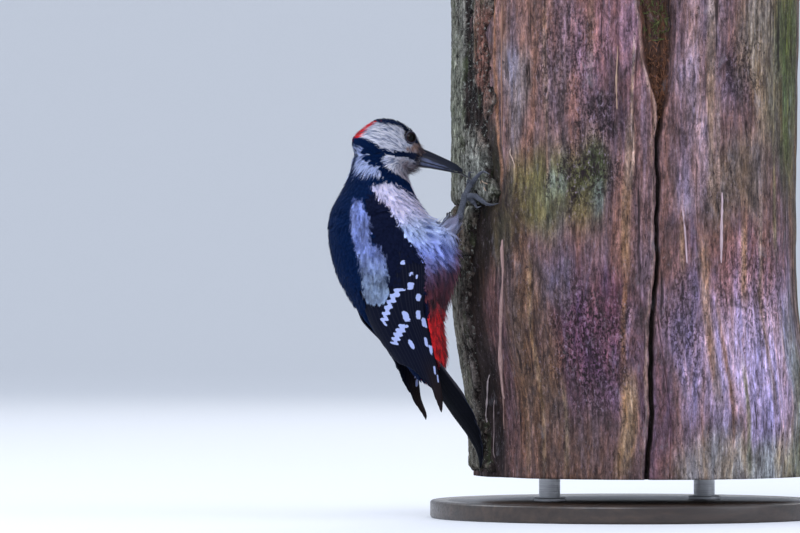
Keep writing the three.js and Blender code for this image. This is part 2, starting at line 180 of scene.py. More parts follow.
profile = [(0.0, 0.0)]
for turn in np.linspace(0, math.pi / 2, 25):
    across = FLOOR_FLAT + (FLOOR_RIM - FLOOR_FLAT) * math.sin(turn)
    profile.append((across, FLOOR_WALL * (1 - math.cos(turn))))
sweep = turned(profile, 128)
bmesh.ops.reverse_faces(sweep, faces=[face for face in sweep.faces if face.normal.z < 0])
floor_material, tree, shader = new_material("studio_paper", Roughness=0.85)
speckle = cloud(tree, object_places(tree), 900.0, 3.0)
coloured(tree, shader, ramp(tree, speckle, [(0.3, (0.74, 0.745, 0.76)), (0.7, (0.78, 0.785, 0.8))]))
bump(tree, shader, speckle, 0.0002)
finished("studio_floor", sweep, floor_material)

world = bpy.data.worlds.new("studio_air")
world.use_nodes = True
sky = world.node_tree.nodes["Background"].inputs
sky["Color"].default_value, sky["Strength"].default_value = (0.78, 0.86, 1.0, 1.0), 0.9
bpy.context.scene.world = world
bpy.context.scene.view_settings.view_transform = "Standard"


def soft_light(name, place, size, watts, colour):
    lamp = bpy.data.lights.new(name, "AREA")
    lamp.size = size
    lamp.energy = watts
    lamp.color = colour
    light = placed(name, lamp)
    light.location = place
    light.rotation_euler = (AIM - Vector(place)).to_track_quat("-Z", "Y").to_euler()


soft_light("key_light", (-1.6, -1.7, 2.1), 1.6, 52.0, (0.86, 0.89, 1.0))
soft_light("fill_light", (2.2, -2.2, 1.2), 1.8, 23.0, (0.86, 0.89, 1.0))
soft_light("back_light", (-1.9, 1.2, 1.7), 1.4, 30.0, (0.82, 0.9, 1.0))
soft_light("far_light", (1.6, 2.2, 1.8), 1.6, 18.0, (1.0, 0.98, 0.95))

# ---- stand ----
# The museum stand is a turned disc of dark lacquered wood with a rounded rim and a fine groove. Two short
# brushed steel rods with collars rise from it and are screwed up into the cut trunk.

BASE_RADIUS = 112 * MM
BASE_HEIGHT = 10 * MM
BASE_ROUNDING = 1.6 * MM
# a fine groove near the disc's rim, as distances in from the rim and depths
GROOVE = [(9 * MM, 0), (9.6 * MM, 0.5 * MM), (10.4 * MM, 0.5 * MM), (11 * MM, 0)]
ROD_RADIUS = 6 * MM
ROD_PLACES = {"stand_rod_front": -48 * MM, "stand_rod_back": 48 * MM}
COLLAR_RADIUS = 9 * MM
COLLAR_HEIGHT = 1.8 * MM
EDGE_ANGLE = math.radians(40)  # edges sharper than this are shown sharp


def blend_colour(tree, share, first, second, blend_type="MIX"):
    node = add_node(tree, "Mix", data_type="RGBA", blend_type=blend_type)
    for place, value in ((0, share), (6, first), (7, second)):
        socket = node.inputs[place]
        if isinstance(value, bpy.types.NodeSocket):
            tree.links.new(value, socket)
        else:
            socket.default_value = (*value, 1.0) if isinstance(value, tuple) else value
    return node.outputs[2]


def arithmetic(tree, operation, first, second=0.0):
    return add_node(tree, "Math", {0: first, 1: second}, operation=operation).outputs[0]


def times(tree, first, second):
    return arithmetic(tree, "MULTIPLY", first, second)


def grain_group():
    """Grain that runs along one axis: a mask of dark fibres, a height and a slow drift of tone."""
    group = bpy.data.node_groups.new("wood_grain", "ShaderNodeTree")
    sockets = group.interface
    sockets.new_socket("Places", in_out="INPUT", socket_type="NodeSocketVector")
    sockets.new_socket("Fineness", in_out="INPUT", socket_type="NodeSocketFloat")
    for name in ("Fibres", "Pores", "Drift"):
        sockets.new_socket(name, in_out="OUTPUT", socket_type="NodeSocketFloat")
    inside = group.nodes.new("NodeGroupInput")
    outside = group.nodes.new("NodeGroupOutput")
    places, fineness = inside.outputs["Places"], inside.outputs["Fineness"]
    fibres = cloud(group, places, fineness, 7.0, 0.62, 0.25)
    pores = cloud(group, places, times(group, fineness, 3.1), 3.0, 0.6)
    drift = cloud(group, places, times(group, fineness, 0.16), 3.0, 0.5, 0.6)
    for name, value in (("Fibres", fibres), ("Pores", pores), ("Drift", drift)):
        group.links.new(value, outside.inputs[name])
    return group


WOOD_GRAIN = grain_group()


def wood_grain(tree, places, fineness):
    node = add_node(tree, "Group", node_tree=WOOD_GRAIN)
    tree.links.new(places, node.inputs["Places"])
    node.inputs["Fineness"].default_value = fineness
    return node.outputs["Fibres"], node.outputs["Pores"], node.outputs["Drift"]


lacquer, tree, shader = new_material("dark_lacquered_wood", Coat_Weight=0.35, Coat_Roughness=0.25)
fibres, pores, drift = wood_grain(tree, object_places(tree, (0.06, 1.0, 1.0)), 210.0)
browns = [(0.32, (0.016, 0.01, 0.007)), (0.52, (0.042, 0.026, 0.018)), (0.7, (0.07, 0.043, 0.028))]
brown = ramp(tree, fibres, browns)
brown = blend_colour(tree, times(tree, drift, 0.5), brown, (0.02, 0.012, 0.009))
coloured(tree, shader, brown, (pores, [(0.35, 0.52), (0.6, 0.36)]))
bump(tree, shader, fibres, 0.0003, 0.5)

profile = [(0.0, 0.0), (BASE_RADIUS - BASE_ROUNDING, 0.0)]
for height, start in ((BASE_ROUNDING, 270), (BASE_HEIGHT - BASE_ROUNDING, 0)):
    for step in range(6):
        turn = math.radians(start + 90 * step / 5)
        inwards, up = 1 - math.cos(turn), math.sin(turn)
        profile.append((BASE_RADIUS - BASE_ROUNDING * inwards, height + BASE_ROUNDING * up))
profile += [(BASE_RADIUS - inwards, BASE_HEIGHT - depth) for inwards, depth in GROOVE] + [(0.0, BASE_HEIGHT)]
base = finished("stand_disc", turned(profile, 160), lacquer)
base.modifiers.new("edges", "EDGE_SPLIT").split_angle = EDGE_ANGLE
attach(base, "root")
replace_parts(base, "stand_base")

steel, tree, shader = new_material("brushed_steel", Metallic=1.0, Anisotropic=0.4)
scratches = cloud(tree, object_places(tree, (0.05, 0.05, 1.0)), 1800.0, 4.0, 0.7)
grey = ramp(tree, scratches, [(0.3, (0.3, 0.3, 0.31)), (0.7, (0.46, 0.46, 0.47))])
coloured(tree, shader, grey, (scratches, [(0.3, 0.42), (0.7, 0.26)]))
bump(tree, shader, scratches, 0.00005, 0.6)

for name, along_x in ROD_PLACES.items():
    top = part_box(name)[1].z + 0.25 * MM
    profile = [
        (0.0, BASE_HEIGHT), (COLLAR_RADIUS, BASE_HEIGHT), (COLLAR_RADIUS, BASE_HEIGHT + COLLAR_HEIGHT * 0.8),
        (COLLAR_RADIUS - 0.4 * MM, BASE_HEIGHT + COLLAR_HEIGHT), (ROD_RADIUS, BASE_HEIGHT + COLLAR_HEIGHT),
        (ROD_RADIUS, top), (0.0, top),
    ]
    shape = turned(profile, 64)
    bmesh.ops.translate(shape, verts=shape.verts, vec=(along_x, 0, 0))
    rod = finished(name + "_bar", shape, steel)
    rod.modifiers.new("edges", "EDGE_SPLIT").split_angle = EDGE_ANGLE
    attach(rod, "root")
    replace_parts(rod, name)

# ---- bare wood of the trunk ----
# A cut length of dead trunk, long since without most of its bark. Weather has opened the grain into long
# ridges and one deep crack, whose top is full of crumbled rotten wood. Both ends are sawn.

WOOD_RADIUS = 97 * MM
WOOD_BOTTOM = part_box("perch_wood")[0].z
WOOD_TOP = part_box("perch_wood")[1].z
WOOD_COLUMNS = 500
WOOD_ROWS = 176
END_ROWS = 7
BEND = 10.5 * MM
BEND_HEIGHTS = (46 * MM, 132 * MM)
CRACK_TURN = 8.0  # degrees round from the side that faces the camera, as all turns on the trunk are
CRACK_HEIGHTS = np.array((25, 50, 78, 101, 123, 146, 173, 209, 224, 231, 240, 260, 300)) * MM
CRACK_LINE = (-1.0, -0.1, 2.2, 4.0, 7.0, 7.9, 8.1, 8.1, 8.9, 9.2, 9.4, 8.6, 7.3)
CRACK_WIDTHS = (1.2, 1.2, 1.2, 1.2, 1.2, 1.2, 1.2, 1.2, 1.5, 2.2, 4.4, 8.0, 10.0)
CAMERA_SIDE = -112.0  # the same side as an angle about Z
NOISE_RADIUS = 0.1
END_RIM = 9 * MM  # how far the side's weathering runs in over the sawn ends


def soft_step(value, low, high):
    share = np.clip((value - low) / (high - low), 0.0, 1.0)
    return share * share * (3 - 2 * share)


def bend_at(height):
    """How far the foot of the trunk steps away from the bird."""
    return BEND * (1 - soft_step(height, *BEND_HEIGHTS))


def rough(points, seed=0.0):
    """Perlin noise, from -1 to 1, at each of many points."""
    return np.array([noise.noise((x + seed, y - seed, z + 2 * seed)) for x, y, z in points])


def on_cylinder(turn, height, scale_across, scale_along):
    """Places for noise that is drawn out along the trunk."""
    angle = np.radians(turn)
    across = NOISE_RADIUS / scale_across
    return np.stack([across * np.cos(angle), across * np.sin(angle), height / scale_along], axis=1)


def crack_width(height):
    """Half the crack's width at the surface: a narrow split that opens into a hollow at its top."""
    return np.interp(height, CRACK_HEIGHTS, CRACK_WIDTHS) * MM


def off_crack(turn, height):
    """How far round the trunk each place is from the middle of the crack."""
    wander = 0.25 * np.sin(height / (7 * MM)) + 0.12 * np.sin(height / (2.3 * MM))
    return np.radians(turn - np.interp(height, CRACK_HEIGHTS, CRACK_LINE) - wander) * WOOD_RADIUS


def swellings(turn, height):
    """The slow flutes of the trunk, which die away on the bird's side."""
    angle = np.radians(turn + CAMERA_SIDE)
    facing = 0.5 - 0.5 * np.cos(angle)
    flutes = 1.1 * np.sin(3 * angle + 0.9) + 0.7 * np.sin(7 * angle + height / (90 * MM))
    swelling = 0.6 * np.sin(height / (37 * MM) + angle)
    return (flutes + swelling) * (1 - facing**3) * MM


def wood_relief(turn, height):
    """Height of the weathered surface over a plain cylinder, at many places."""
    ridges = rough(on_cylinder(turn, height, 7 * MM, 110 * MM))
    fibres = rough(on_cylinder(turn, height, 2.2 * MM, 42 * MM), 3.0)
    splits = rough(on_cylinder(turn, height, 11 * MM, 210 * MM), 7.0)
    lumps = rough(on_cylinder(turn, height, 16 * MM, 22 * MM), 11.0)
    relief = (0.9 * ridges + 0.42 * fibres + 0.45 * lumps) * MM
    relief -= 1.1 * MM * np.exp(-((splits / 0.03) ** 2))
    inside = np.clip((1.15 - np.abs(off_crack(turn, height)) / crack_width(height)) / 0.4, 0.0, 1.0)
    relief -= 7.5 * MM * inside**0.7
    hollow = soft_step(turn, -67, -60) * (1 - soft_step(turn, -50, -45))
    relief -= 2.6 * MM * hollow * (1 - soft_step(height, 196 * MM, 214 * MM))
    burr = np.exp(-(((turn + 44) / 5.5) ** 2) - ((height - 178 * MM) / (9 * MM)) ** 2)
    relief += 2.4 * MM * burr
    return relief


def crowded_turns(count, centre, width, gain):
    """Turns right round the trunk, closer together about the crack."""
    turns = np.linspace(-180, 180, 4001)
    density = 1 + gain * np.exp(-(((turns - centre) / width) ** 2)) + 0.5 * np.cos(np.radians(turns + 30))
    total = np.concatenate([[0.0], np.cumsum(density[1:] + density[:-1])])
    return np.interp(np.linspace(0, total[-1], count + 1), total, turns)


def move_corners(shape, places):
    for vert, place in zip(shape.verts, places):
        vert.co = place


def moulded_grid(columns, rows, place):
    """A sheet of quads. place takes arrays of shares across and along it, and gives an array of points."""
    shape = bmesh.new()
    bmesh.ops.create_grid(shape, x_segments=columns, y_segments=rows, size=0.5)
    corners = np.array([vert.co for vert in shape.verts])
    move_corners(shape, place(corners[:, 0] + 0.5, corners[:, 1] + 0.5))
    return shape


def around_trunk(turn, height, radius):
    angle = np.radians(turn + CAMERA_SIDE)
    return np.stack([radius * np.cos(angle) + bend_at(height), radius * np.sin(angle), height], axis=1)


def wood_places(across, along):
    columns = crowded_turns(WOOD_COLUMNS, CRACK_TURN - 3, 7.5, 3.5)
    turn = np.interp(across, np.linspace(0, 1, WOOD_COLUMNS + 1), columns)
    rows = along * (WOOD_ROWS + 2 * END_ROWS)
    share = np.clip((rows - END_ROWS) / WOOD_ROWS, 0.0, 1.0)
    height = WOOD_BOTTOM + (WOOD_TOP - WOOD_BOTTOM) * share
    seam = soft_step(np.abs(turn), 150, 178)
    relief = wood_relief(turn, height) * (1 - seam)
    radius = WOOD_RADIUS + swellings(turn, height) + relief
    inwards = np.clip(np.minimum(rows, WOOD_ROWS + 2 * END_ROWS - rows) / END_ROWS, 0.0, 1.0)
    rim = np.where(inwards < 1, inwards ** 0.8, 1.0)
    return around_trunk(turn, height, radius * rim)


def paint(mesh, name, colours):
    """A colour for each vertex, kept as an attribute that the material reads."""
    rows = np.ones((len(mesh.vertices), 4), np.float32)
    rows[:, :3] = colours
    mesh.attributes.new(name, "FLOAT_COLOR", "POINT").data.foreach_set("color", rows.ravel())


def corners_of(mesh, kind="co"):
    """The place of each vertex, or its normal."""
    rows = np.empty(len(mesh.vertices) * 3, np.float32)
    mesh.vertices.foreach_get(kind, rows)
    return rows.reshape(-1, 3).astype(float)


def mixed(colours, share, colour):
    share = np.clip(share, 0, 1)[:, None]
    return colours * (1 - share) + np.array(colour) * share


# turn, height and reach both ways, then the colour and how strongly it shows
WEATHERING_AND_SHADE = [
    ((-40, 250), (24, 70), (0.205, 0.118, 0.112), 0.9),
    ((-43, 238), (5, 36), (0.25, 0.215, 0.25), 0.8),
    ((-8, 262), (16, 44), (0.26, 0.138, 0.175), 0.9),
    ((-9, 229), (9, 17), (0.07, 0.042, 0.05), 0.9),
    ((-37, 186), (10, 22), (0.2, 0.16, 0.065), 0.85),
    ((-22, 186), (15, 26), (0.125, 0.12, 0.048), 0.9),
    ((-14, 192), (9, 15), (0.038, 0.044, 0.015), 0.85),
    ((-12, 178), (5, 9), (0.24, 0.27, 0.22), 0.6),
    ((-27, 188), (4, 9), (0.23, 0.25, 0.18), 0.6),
    ((-39, 90), (10, 70), (0.135, 0.082, 0.056), 0.9),
    ((-17, 100), (14, 46), (0.11, 0.048, 0.094), 0.95),
    ((-27, 132), (8, 16), (0.15, 0.12, 0.15), 0.6),
    ((-30, 30), (24, 36), (0.12, 0.07, 0.056), 0.8),
    ((-5, 104), (2.6, 13), (0.29, 0.2, 0.3), 0.8),
    ((2, 60), (6, 60), (0.12, 0.062, 0.086), 0.8),
    ((22, 238), (8, 66), (0.43, 0.3, 0.37), 0.9),
    ((19, 164), (9, 14), (0.15, 0.084, 0.105), 0.8),
    ((38, 252), (8, 17), (0.09, 0.052, 0.066), 0.9),
    ((51, 262), (9, 56), (0.33, 0.25, 0.17), 0.8),
    ((40, 190), (14, 26), (0.16, 0.125, 0.1), 0.8),
    ((16, 106), (8, 38), (0.23, 0.15, 0.225), 0.9),
    ((44, 132), (16, 30), (0.32, 0.165, 0.215), 0.9),
    ((46, 84), (29, 46), (0.56, 0.42, 0.64), 0.95),
    ((26, 32), (14, 20), (0.33, 0.29, 0.25), 0.8),
    ((48, 28), (16, 18), (0.44, 0.42, 0.36), 0.8),
    ((70, 250), (14, 70), (0.085, 0.115, 0.03), 0.95),
    ((66, 60), (10, 60), (0.19, 0.21, 0.13), 0.8),
    ((100, 150), (28, 200), (0.12, 0.1, 0.066), 0.8),
    ((160, 150), (40, 200), (0.13, 0.09, 0.075), 0.8),
    ((-52, 96), (5, 60), (0.105, 0.054, 0.06), 0.8),
    ((-48, 170), (9, 26), (0.066, 0.052, 0.024), 0.9),
    # the last four rows are painted shade in the hollow between the bark and the bare wood: near-black, and
    # dark olive in one
    ((-63, 96), (6.5, 112), (0.009, 0.006, 0.006), 1.0),
    ((-59, 166), (7, 34), (0.006, 0.006, 0.003), 1.0),
    ((-57, 200), (6, 22), (0.026, 0.03, 0.01), 0.8),
    ((-70, 150), (13, 200), (0.016, 0.01, 0.008), 1.0),
]
WOOD_COLOUR = (0.19, 0.106, 0.108)
# the crack's pale rim, the painted shadow down in it, and the rot in its top
CRACK_RIM, CRACK_SHADOW, CRACK_ROT = (0.4, 0.26, 0.22), (0.022, 0.015, 0.011), (0.09, 0.04, 0.022)
# turn, height and reach both ways, then how thick the dark specks are
SPECKS = [
    ((-22, 258), (17, 42), 0.75), ((-12, 226), (11, 20), 1.0), ((-16, 196), (14, 22), 1.0),
    ((-16, 100), (15, 44), 1.0), ((16, 108), (9, 40), 0.8), ((40, 252), (10, 24), 0.9),
    ((46, 130), (20, 36), 0.75), ((-40, 120), (8, 120), 0.4), ((30, 190), (10, 24), 0.5),
    ((120, 150), (50, 200), 0.5), ((-140, 150), (50, 200), 0.5),
]
SPECKS_ELSEWHERE = 0.3
# turn at the top and at the bottom, heights, half width in degrees, colour
STREAKS = [
    (-0.6, -2.6, 138, 226, 1.5, (0.3, 0.185, 0.125)),
    (0.2, -0.4, 190, 270, 0.5, (0.48, 0.34, 0.3)),
    (-4.2, -9.5, 24, 84, 2.6, (0.4, 0.245, 0.135)),
    (-2.2, -6.2, 84, 140, 1.0, (0.24, 0.12, 0.07)),
    (-14, -14, 240, 300, 1.2, (0.27, 0.165, 0.165)),
    (-30, -29, 190, 290, 0.9, (0.27, 0.17, 0.14)),
    (-52, -50, 180, 300, 0.8, (0.31, 0.145, 0.08)),
    (-36, -37, 24, 150, 0.8, (0.24, 0.155, 0.1)),
    (-43, -44, 24, 120, 1.0, (0.2, 0.12, 0.085)),
    (-28, -29, 24, 80, 0.9, (0.22, 0.145, 0.095)),
    (27.4, 27.6, 176, 300, 1.5, (0.33, 0.215, 0.16)),
    (30, 31, 176, 240, 0.8, (0.34, 0.235, 0.215)),
    (24.5, 24, 60, 160, 2.0, (0.36, 0.225, 0.18)),
    (29.5, 29, 40, 130, 0.9, (0.27, 0.15, 0.11)),
    (17, 16, 140, 170, 0.8, (0.42, 0.28, 0.23)),
    (40, 40, 120, 170, 1.2, (0.34, 0.22, 0.165)),
    (49, 49, 60, 200, 1.0, (0.34, 0.23, 0.2)),
    (57, 57, 150, 290, 1.1, (0.28, 0.215, 0.12)),
    (36, 35.5, 24, 90, 1.0, (0.2, 0.19, 0.11)),
]


def nearness(turn, tall, middle, reach, wobble, swing):
    """1 in the middle of a soft patch and 0 well outside it. swing is how far noise moves its edge."""
    across = (turn - middle[0] + swing[0] * wobble) / reach[0]
    along = (tall - middle[1] + swing[1] * wobble) / reach[1]
    return np.exp(-((across**2 + along**2) ** 2))


def patched(base, patches, turn, tall, wobble, swing):
    """A base colour with soft patches of other colours laid over it in turn."""
    colours = np.tile(np.array(base), (len(turn), 1))
    for middle, reach, colour, strength in patches:
        share = strength * nearness(turn, tall, middle, reach, wobble, swing)
        colours = mixed(colours, share, colour)
    return colours


def weathered(turn, height):
    # The wood's stains and streaks, with painted shade in the hollow beside the bark and down in the crack.
    tall = height / MM
    wobble = rough(on_cylinder(turn, height, 14 * MM, 50 * MM), 21.0)
    colours = patched(WOOD_COLOUR, WEATHERING_AND_SHADE, turn, tall, wobble, (9, 12))
    for top, bottom, low, high, wide, colour in STREAKS:
        middle = top + (bottom - top) * (high - tall) / (high - low)
        inside = soft_step(tall, low - 8, low + 14) * (1 - soft_step(tall, high - 14, high + 8))
        share = 0.85 * inside * np.exp(-(((turn - middle + 1.2 * wobble) / wide) ** 4))
        colours = mixed(colours, share, colour)
    off, wide = off_crack(turn, height), crack_width(height)
    rim = np.exp(-(((off + wide + 1.6 * MM) / ((0.9 + 0.4 * wobble) * MM)) ** 4))
    colours = mixed(colours, 0.8 * rim * (0.7 + 0.5 * wobble), CRACK_RIM)
    # down in the crack the wood is painted near-black as shade, and the real orange-brown rot fills its top
    rotten = soft_step(height, 205 * MM, 235 * MM)
    inside = mixed(np.tile(CRACK_SHADOW, (len(turn), 1)), rotten, CRACK_ROT)
    return mixed(colours, np.exp(-((off / (wide * 1.08)) ** 10)), inside)


def speckled(turn, height):
    """How thick the dark specks are at each place."""
    wobble = rough(on_cylinder(turn, height, 6 * MM, 14 * MM), 27.0)
    strength = np.full(len(turn), SPECKS_ELSEWHERE)
    for middle, reach, most in SPECKS:
        strength = np.maximum(strength, most * nearness(turn, height / MM, middle, reach, wobble, (9, 12)))
    return strength[:, None]


def turns_of(places):
    angle = np.degrees(np.arctan2(places[:, 1], places[:, 0] - bend_at(places[:, 2])))
    return (angle - CAMERA_SIDE + 180) % 360 - 180


def plus(tree, first, second):
    return arithmetic(tree, "ADD", first, second)


def tinted(tree, first, second):
    return blend_colour(tree, 1.0, first, second, "MULTIPLY")


def washed(tree, colour, mask, stops, tint):
    """A tint over a colour where a mask, put through a ramp, lets it show."""
    return blend_colour(tree, ramp(tree, mask, stops), colour, tint)


def attribute(tree, name, output="Fac"):
    return add_node(tree, "Attribute", attribute_name=name).outputs[output]


shape = sewn(moulded_grid(WOOD_COLUMNS, WOOD_ROWS + 2 * END_ROWS, wood_places))

old_wood, tree, shader = new_material("weathered_wood", Specular_IOR_Level=0.2)
stain_and_painted_light = attribute(tree, "stain_and_painted_light", "Color")
sawn = attribute(tree, "sawn")
fibres, pores, _ = wood_grain(tree, object_places(tree, (1.0, 1.0, 0.12)), 560.0)
fissures = cloud(tree, object_places(tree, (1.0, 1.0, 0.035)), 190.0, 6.0, 0.6)
pits = cloud(tree, object_places(tree, (1.0, 1.0, 0.42)), 430.0, 6.0, 0.7, 0.6)
dirt = cloud(tree, object_places(tree, (1.0, 1.0, 0.55)), 95.0, 7.0, 0.68, 0.4)
tone = ramp(tree, fibres, [(0.28, 0.42), (0.44, 0.88), (0.58, 1.2), (0.74, 1.9)])
side = tinted(tree, stain_and_painted_light, tone)
mottle = cloud(tree, object_places(tree, (1.0, 1.0, 0.22)), 300.0, 9.0, 0.82, 0.4)
side = tinted(tree, side, ramp(tree, mottle, [(0.38, 0.22), (0.47, 0.78), (0.54, 1.2), (0.64, 2.2)]))
hue = cloud(tree, object_places(tree, (1.0, 1.0, 0.16)), 70.0, 7.0, 0.75, 0.5)
hues = ramp(tree, hue, [(0.38, (1.16, 1.0, 0.76)), (0.5, (0.99, 0.99, 0.96)), (0.6, (0.88, 1.0, 1.18))])
side = tinted(tree, side, hues)
side = washed(tree, side, dirt, [(0.36, 0.6), (0.5, 0.0)], (0.05, 0.036, 0.034))
thick = attribute(tree, "speckled")
specks = cloud(tree, object_places(tree, (1.0, 1.0, 0.6)), 620.0, 6.0, 0.72, 0.5)
dark = times(tree, ramp(tree, specks, [(0.45, 1.0), (0.51, 0.0)]), thick)
side = blend_colour(tree, dark, side, (0.018, 0.011, 0.013))
flecks = times(tree, ramp(tree, specks, [(0.57, 0.0), (0.66, 0.75)]), thick)
side = blend_colour(tree, flecks, side, (0.36, 0.27, 0.36))
side = washed(tree, side, dirt, [(0.6, 0.0), (0.76, 0.45)], (0.3, 0.29, 0.33))
side = washed(tree, side, fissures, [(0.335, 0.85), (0.385, 0.0)], (0.014, 0.009, 0.01))
side = washed(tree, side, pits, [(0.34, 0.85), (0.42, 0.0)], (0.024, 0.015, 0.016))
side = washed(tree, side, pits, [(0.6, 0.0), (0.72, 0.35)], (0.34, 0.29, 0.31))
years = {"Vector": object_places(tree), "Scale": 82.0, "Distortion": 7.5, "Detail": 4.0, "Detail Scale": 0.7}
rings = add_node(tree, "TexWave", years, wave_type="RINGS", rings_direction="Z").outputs["Fac"]
grime = cloud(tree, object_places(tree), 60.0, 6.0, 0.6)
flat = object_places(tree, (1.0, 1.0, 0.0))
from_heart = add_node(tree, "VectorMath", {"Vector": flat}, operation="LENGTH").outputs["Value"]
split = add_node(tree, "SeparateXYZ", {"Vector": flat}).outputs
around = times(tree, arithmetic(tree, "ARCTAN2", split["Y"], split["X"]), 3.0)
polar = add_node(tree, "CombineXYZ", {"X": around, "Y": times(tree, from_heart, 11.0)}).outputs["Vector"]
shakes = cloud(tree, polar, 1.5, 2.0, 0.45, 0.3)
shakes = ramp(tree, shakes, [(0.492, 0.0), (0.498, 0.9), (0.502, 0.9), (0.508, 0.0)])
browns = [(0.0, (0.15, 0.095, 0.064)), (0.5, (0.25, 0.17, 0.115)), (1.0, (0.29, 0.205, 0.14))]
end = ramp(tree, rings, browns)
end = washed(tree, end, grime, [(0.35, 0.7), (0.62, 0.0)], (0.11, 0.078, 0.062))
end = washed(tree, end, from_heart, [(0.004, 0.75), (0.05, 0.0)], (0.085, 0.048, 0.034))
end = blend_colour(tree, shakes, end, (0.022, 0.015, 0.012))
coloured(tree, shader, blend_colour(tree, sawn, side, end), (pores, [(0.3, 0.95), (0.7, 0.72)]))
relief = plus(tree, plus(tree, fibres, times(tree, pores, 0.35)), times(tree, pits, 1.3))
bump(tree, shader, relief, 0.0012, 0.9)

trunk_wood = finished("trunk_wood", shape, old_wood)
places = corners_of(trunk_wood.data)
turn = turns_of(places)
paint(trunk_wood.data, "stain_and_painted_light", weathered(turn, places[:, 2]))
paint(trunk_wood.data, "speckled", speckled(turn, places[:, 2]))
inside_rim = np.hypot(places[:, 0] - bend_at(places[:, 2]), places[:, 1]) < WOOD_RADIUS - END_RIM
flat_end = (np.abs(places[:, 2] - WOOD_TOP) < 1e-5) | (np.abs(places[:, 2] - WOOD_BOTTOM) < 1e-5)
paint(trunk_wood.data, "sawn", np.where(flat_end & inside_rim, 1.0, 0.0)[:, None])
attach(trunk_wood, "root")
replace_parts(trunk_wood, "perch_wood")

# ---- bark ----
# The last bark on the trunk, on the bird's side: three thick grey-green plates with deep cracks and ragged
# edges, and the curled brown stub of a broken one.

# node, turns of its right and left edges, lowest and highest place in millimetres
BARK_PLATES = [
    ("perch_bark_upper", (-53.5, -109), (177.3, 298.2)), ("perch_bark_hold", (-60.5, -97), (148.8, 176.8)),
    ("perch_bark_lower", (-61.5, -102), (26.8, 148.2)),
]
# heights, and how many degrees of the right edge have worn away there
BARK_WORN = (
    (27, 46, 58, 68, 83, 102, 118, 129, 139, 152, 162, 177, 177.3),
    (2, 2, 6, 11.5, 7, 4, 5.5, 7.5, 3.5, 4, 3, 2, 0),
)
BARK_UNDER, BARK_OVER = 94.5 * MM, 100.0 * MM
BARK_DEGREE = 1.75  # millimetres to one degree of turn
BARK_CELL, BARK_ROW = 0.62, 0.85  # width and height of a plate's faces
STUB_TURN, STUB_HEIGHT = -77.5, 165 * MM


def closed_sheet(columns, rows):
    """A closed sheet from 0 to 1 across and along, with its upper face at 1 and its under face at 0."""
    shape = bmesh.new()
    bmesh.ops.create_grid(shape, x_segments=columns, y_segments=rows, size=0.5)
    bmesh.ops.translate(shape, verts=shape.verts, vec=(0.5, 0.5, 0))
    bmesh.ops.solidify(shape, geom=shape.faces[:], thickness=1.0)
    low = min(vert.co.z for vert in shape.verts)
    bmesh.ops.translate(shape, verts=shape.verts, vec=(0, 0, -low))
    bmesh.ops.recalc_face_normals(shape, faces=shape.faces)
    return shape


def bark_edge(height, seed):
    tall = height / MM
    return 1.9 * np.sin(tall / 9) + 1.2 * np.sin(tall / 4.1 + 1) + 1.3 * rough(
        np.stack([tall / 3.2, tall * 0 + seed, tall * 0], axis=1)
    )


def bark_relief(turn, height):
    """Height of the bark's face, in millimetres: long plates, flakes that overlap downwards and cracks."""
    plates = rough(on_cylinder(turn, height, 6 * MM, 21 * MM), 31.0)
    flakes = rough(on_cylinder(turn, height, 2.6 * MM, 6.5 * MM), 37.0)
    grit = rough(on_cylinder(turn, height, 0.9 * MM, 1.6 * MM), 41.0)
    cracks = rough(on_cylinder(turn, height, 4.2 * MM, 26 * MM), 43.0)
    cross = rough(on_cylinder(turn, height, 9 * MM, 4.5 * MM), 47.0)
    relief = 0.9 * plates + 0.65 * np.round(flakes * 3.2) / 3.2 + 0.22 * grit
    relief -= 2.3 * np.exp(-((cracks / 0.075) ** 2)) + 0.9 * np.exp(-((cross / 0.05) ** 2))
    return relief - 2.6 * deep_split(turn, height, plates)


def deep_split(turn, height, wander):
    """The long dark split between the outer bark and the brown inner bark beside the bare wood."""
    across = (turn + 65.5 + 2.6 * wander) / 3.0
    hollow = np.exp(-(((turn + 61) / 5.5) ** 4) - ((height - 232 * MM) / (12 * MM)) ** 4)
    return np.maximum(np.exp(-(across**4)) * soft_step(height, 216 * MM, 226 * MM), 0.8 * hollow)


# turn, height and reach both ways, then the colour and how strongly it shows
BARK_TINTS = [
    ((-66, 262), (20, 60), (0.17, 0.16, 0.14), 0.9), ((-80, 230), (12, 60), (0.13, 0.135, 0.1), 0.8),
    ((-62, 190), (12, 20), (0.2, 0.205, 0.18), 0.9), ((-57, 262), (6, 44), (0.15, 0.066, 0.05), 0.95),
    ((-72, 160), (12, 14), (0.13, 0.104, 0.078), 0.8), ((-77.5, 165), (8, 11), (0.085, 0.045, 0.032), 1.0),
    ((-64, 130), (8, 30), (0.055, 0.04, 0.032), 0.9), ((-68, 90), (8, 40), (0.12, 0.1, 0.092), 0.9),
    ((-64, 45), (8, 26), (0.035, 0.026, 0.022), 0.9),
]
BARK_COLOUR = (0.124, 0.112, 0.09)


def bark_stain_shade_and_highlight(turn, height, relief):
    wobble = rough(on_cylinder(turn, height, 8 * MM, 16 * MM), 51.0)
    colours = patched(BARK_COLOUR, BARK_TINTS, turn, height / MM, wobble, (5, 8))
    # painted shade in the cracks, splits and low places, and a painted highlight on the high places of the
    # plates
    colours = mixed(colours, soft_step(-relief, 0.3, 1.5), (0.014, 0.009, 0.008))
    return colours * (1 + 0.6 * soft_step(relief, 0.3, 1.2))[:, None]


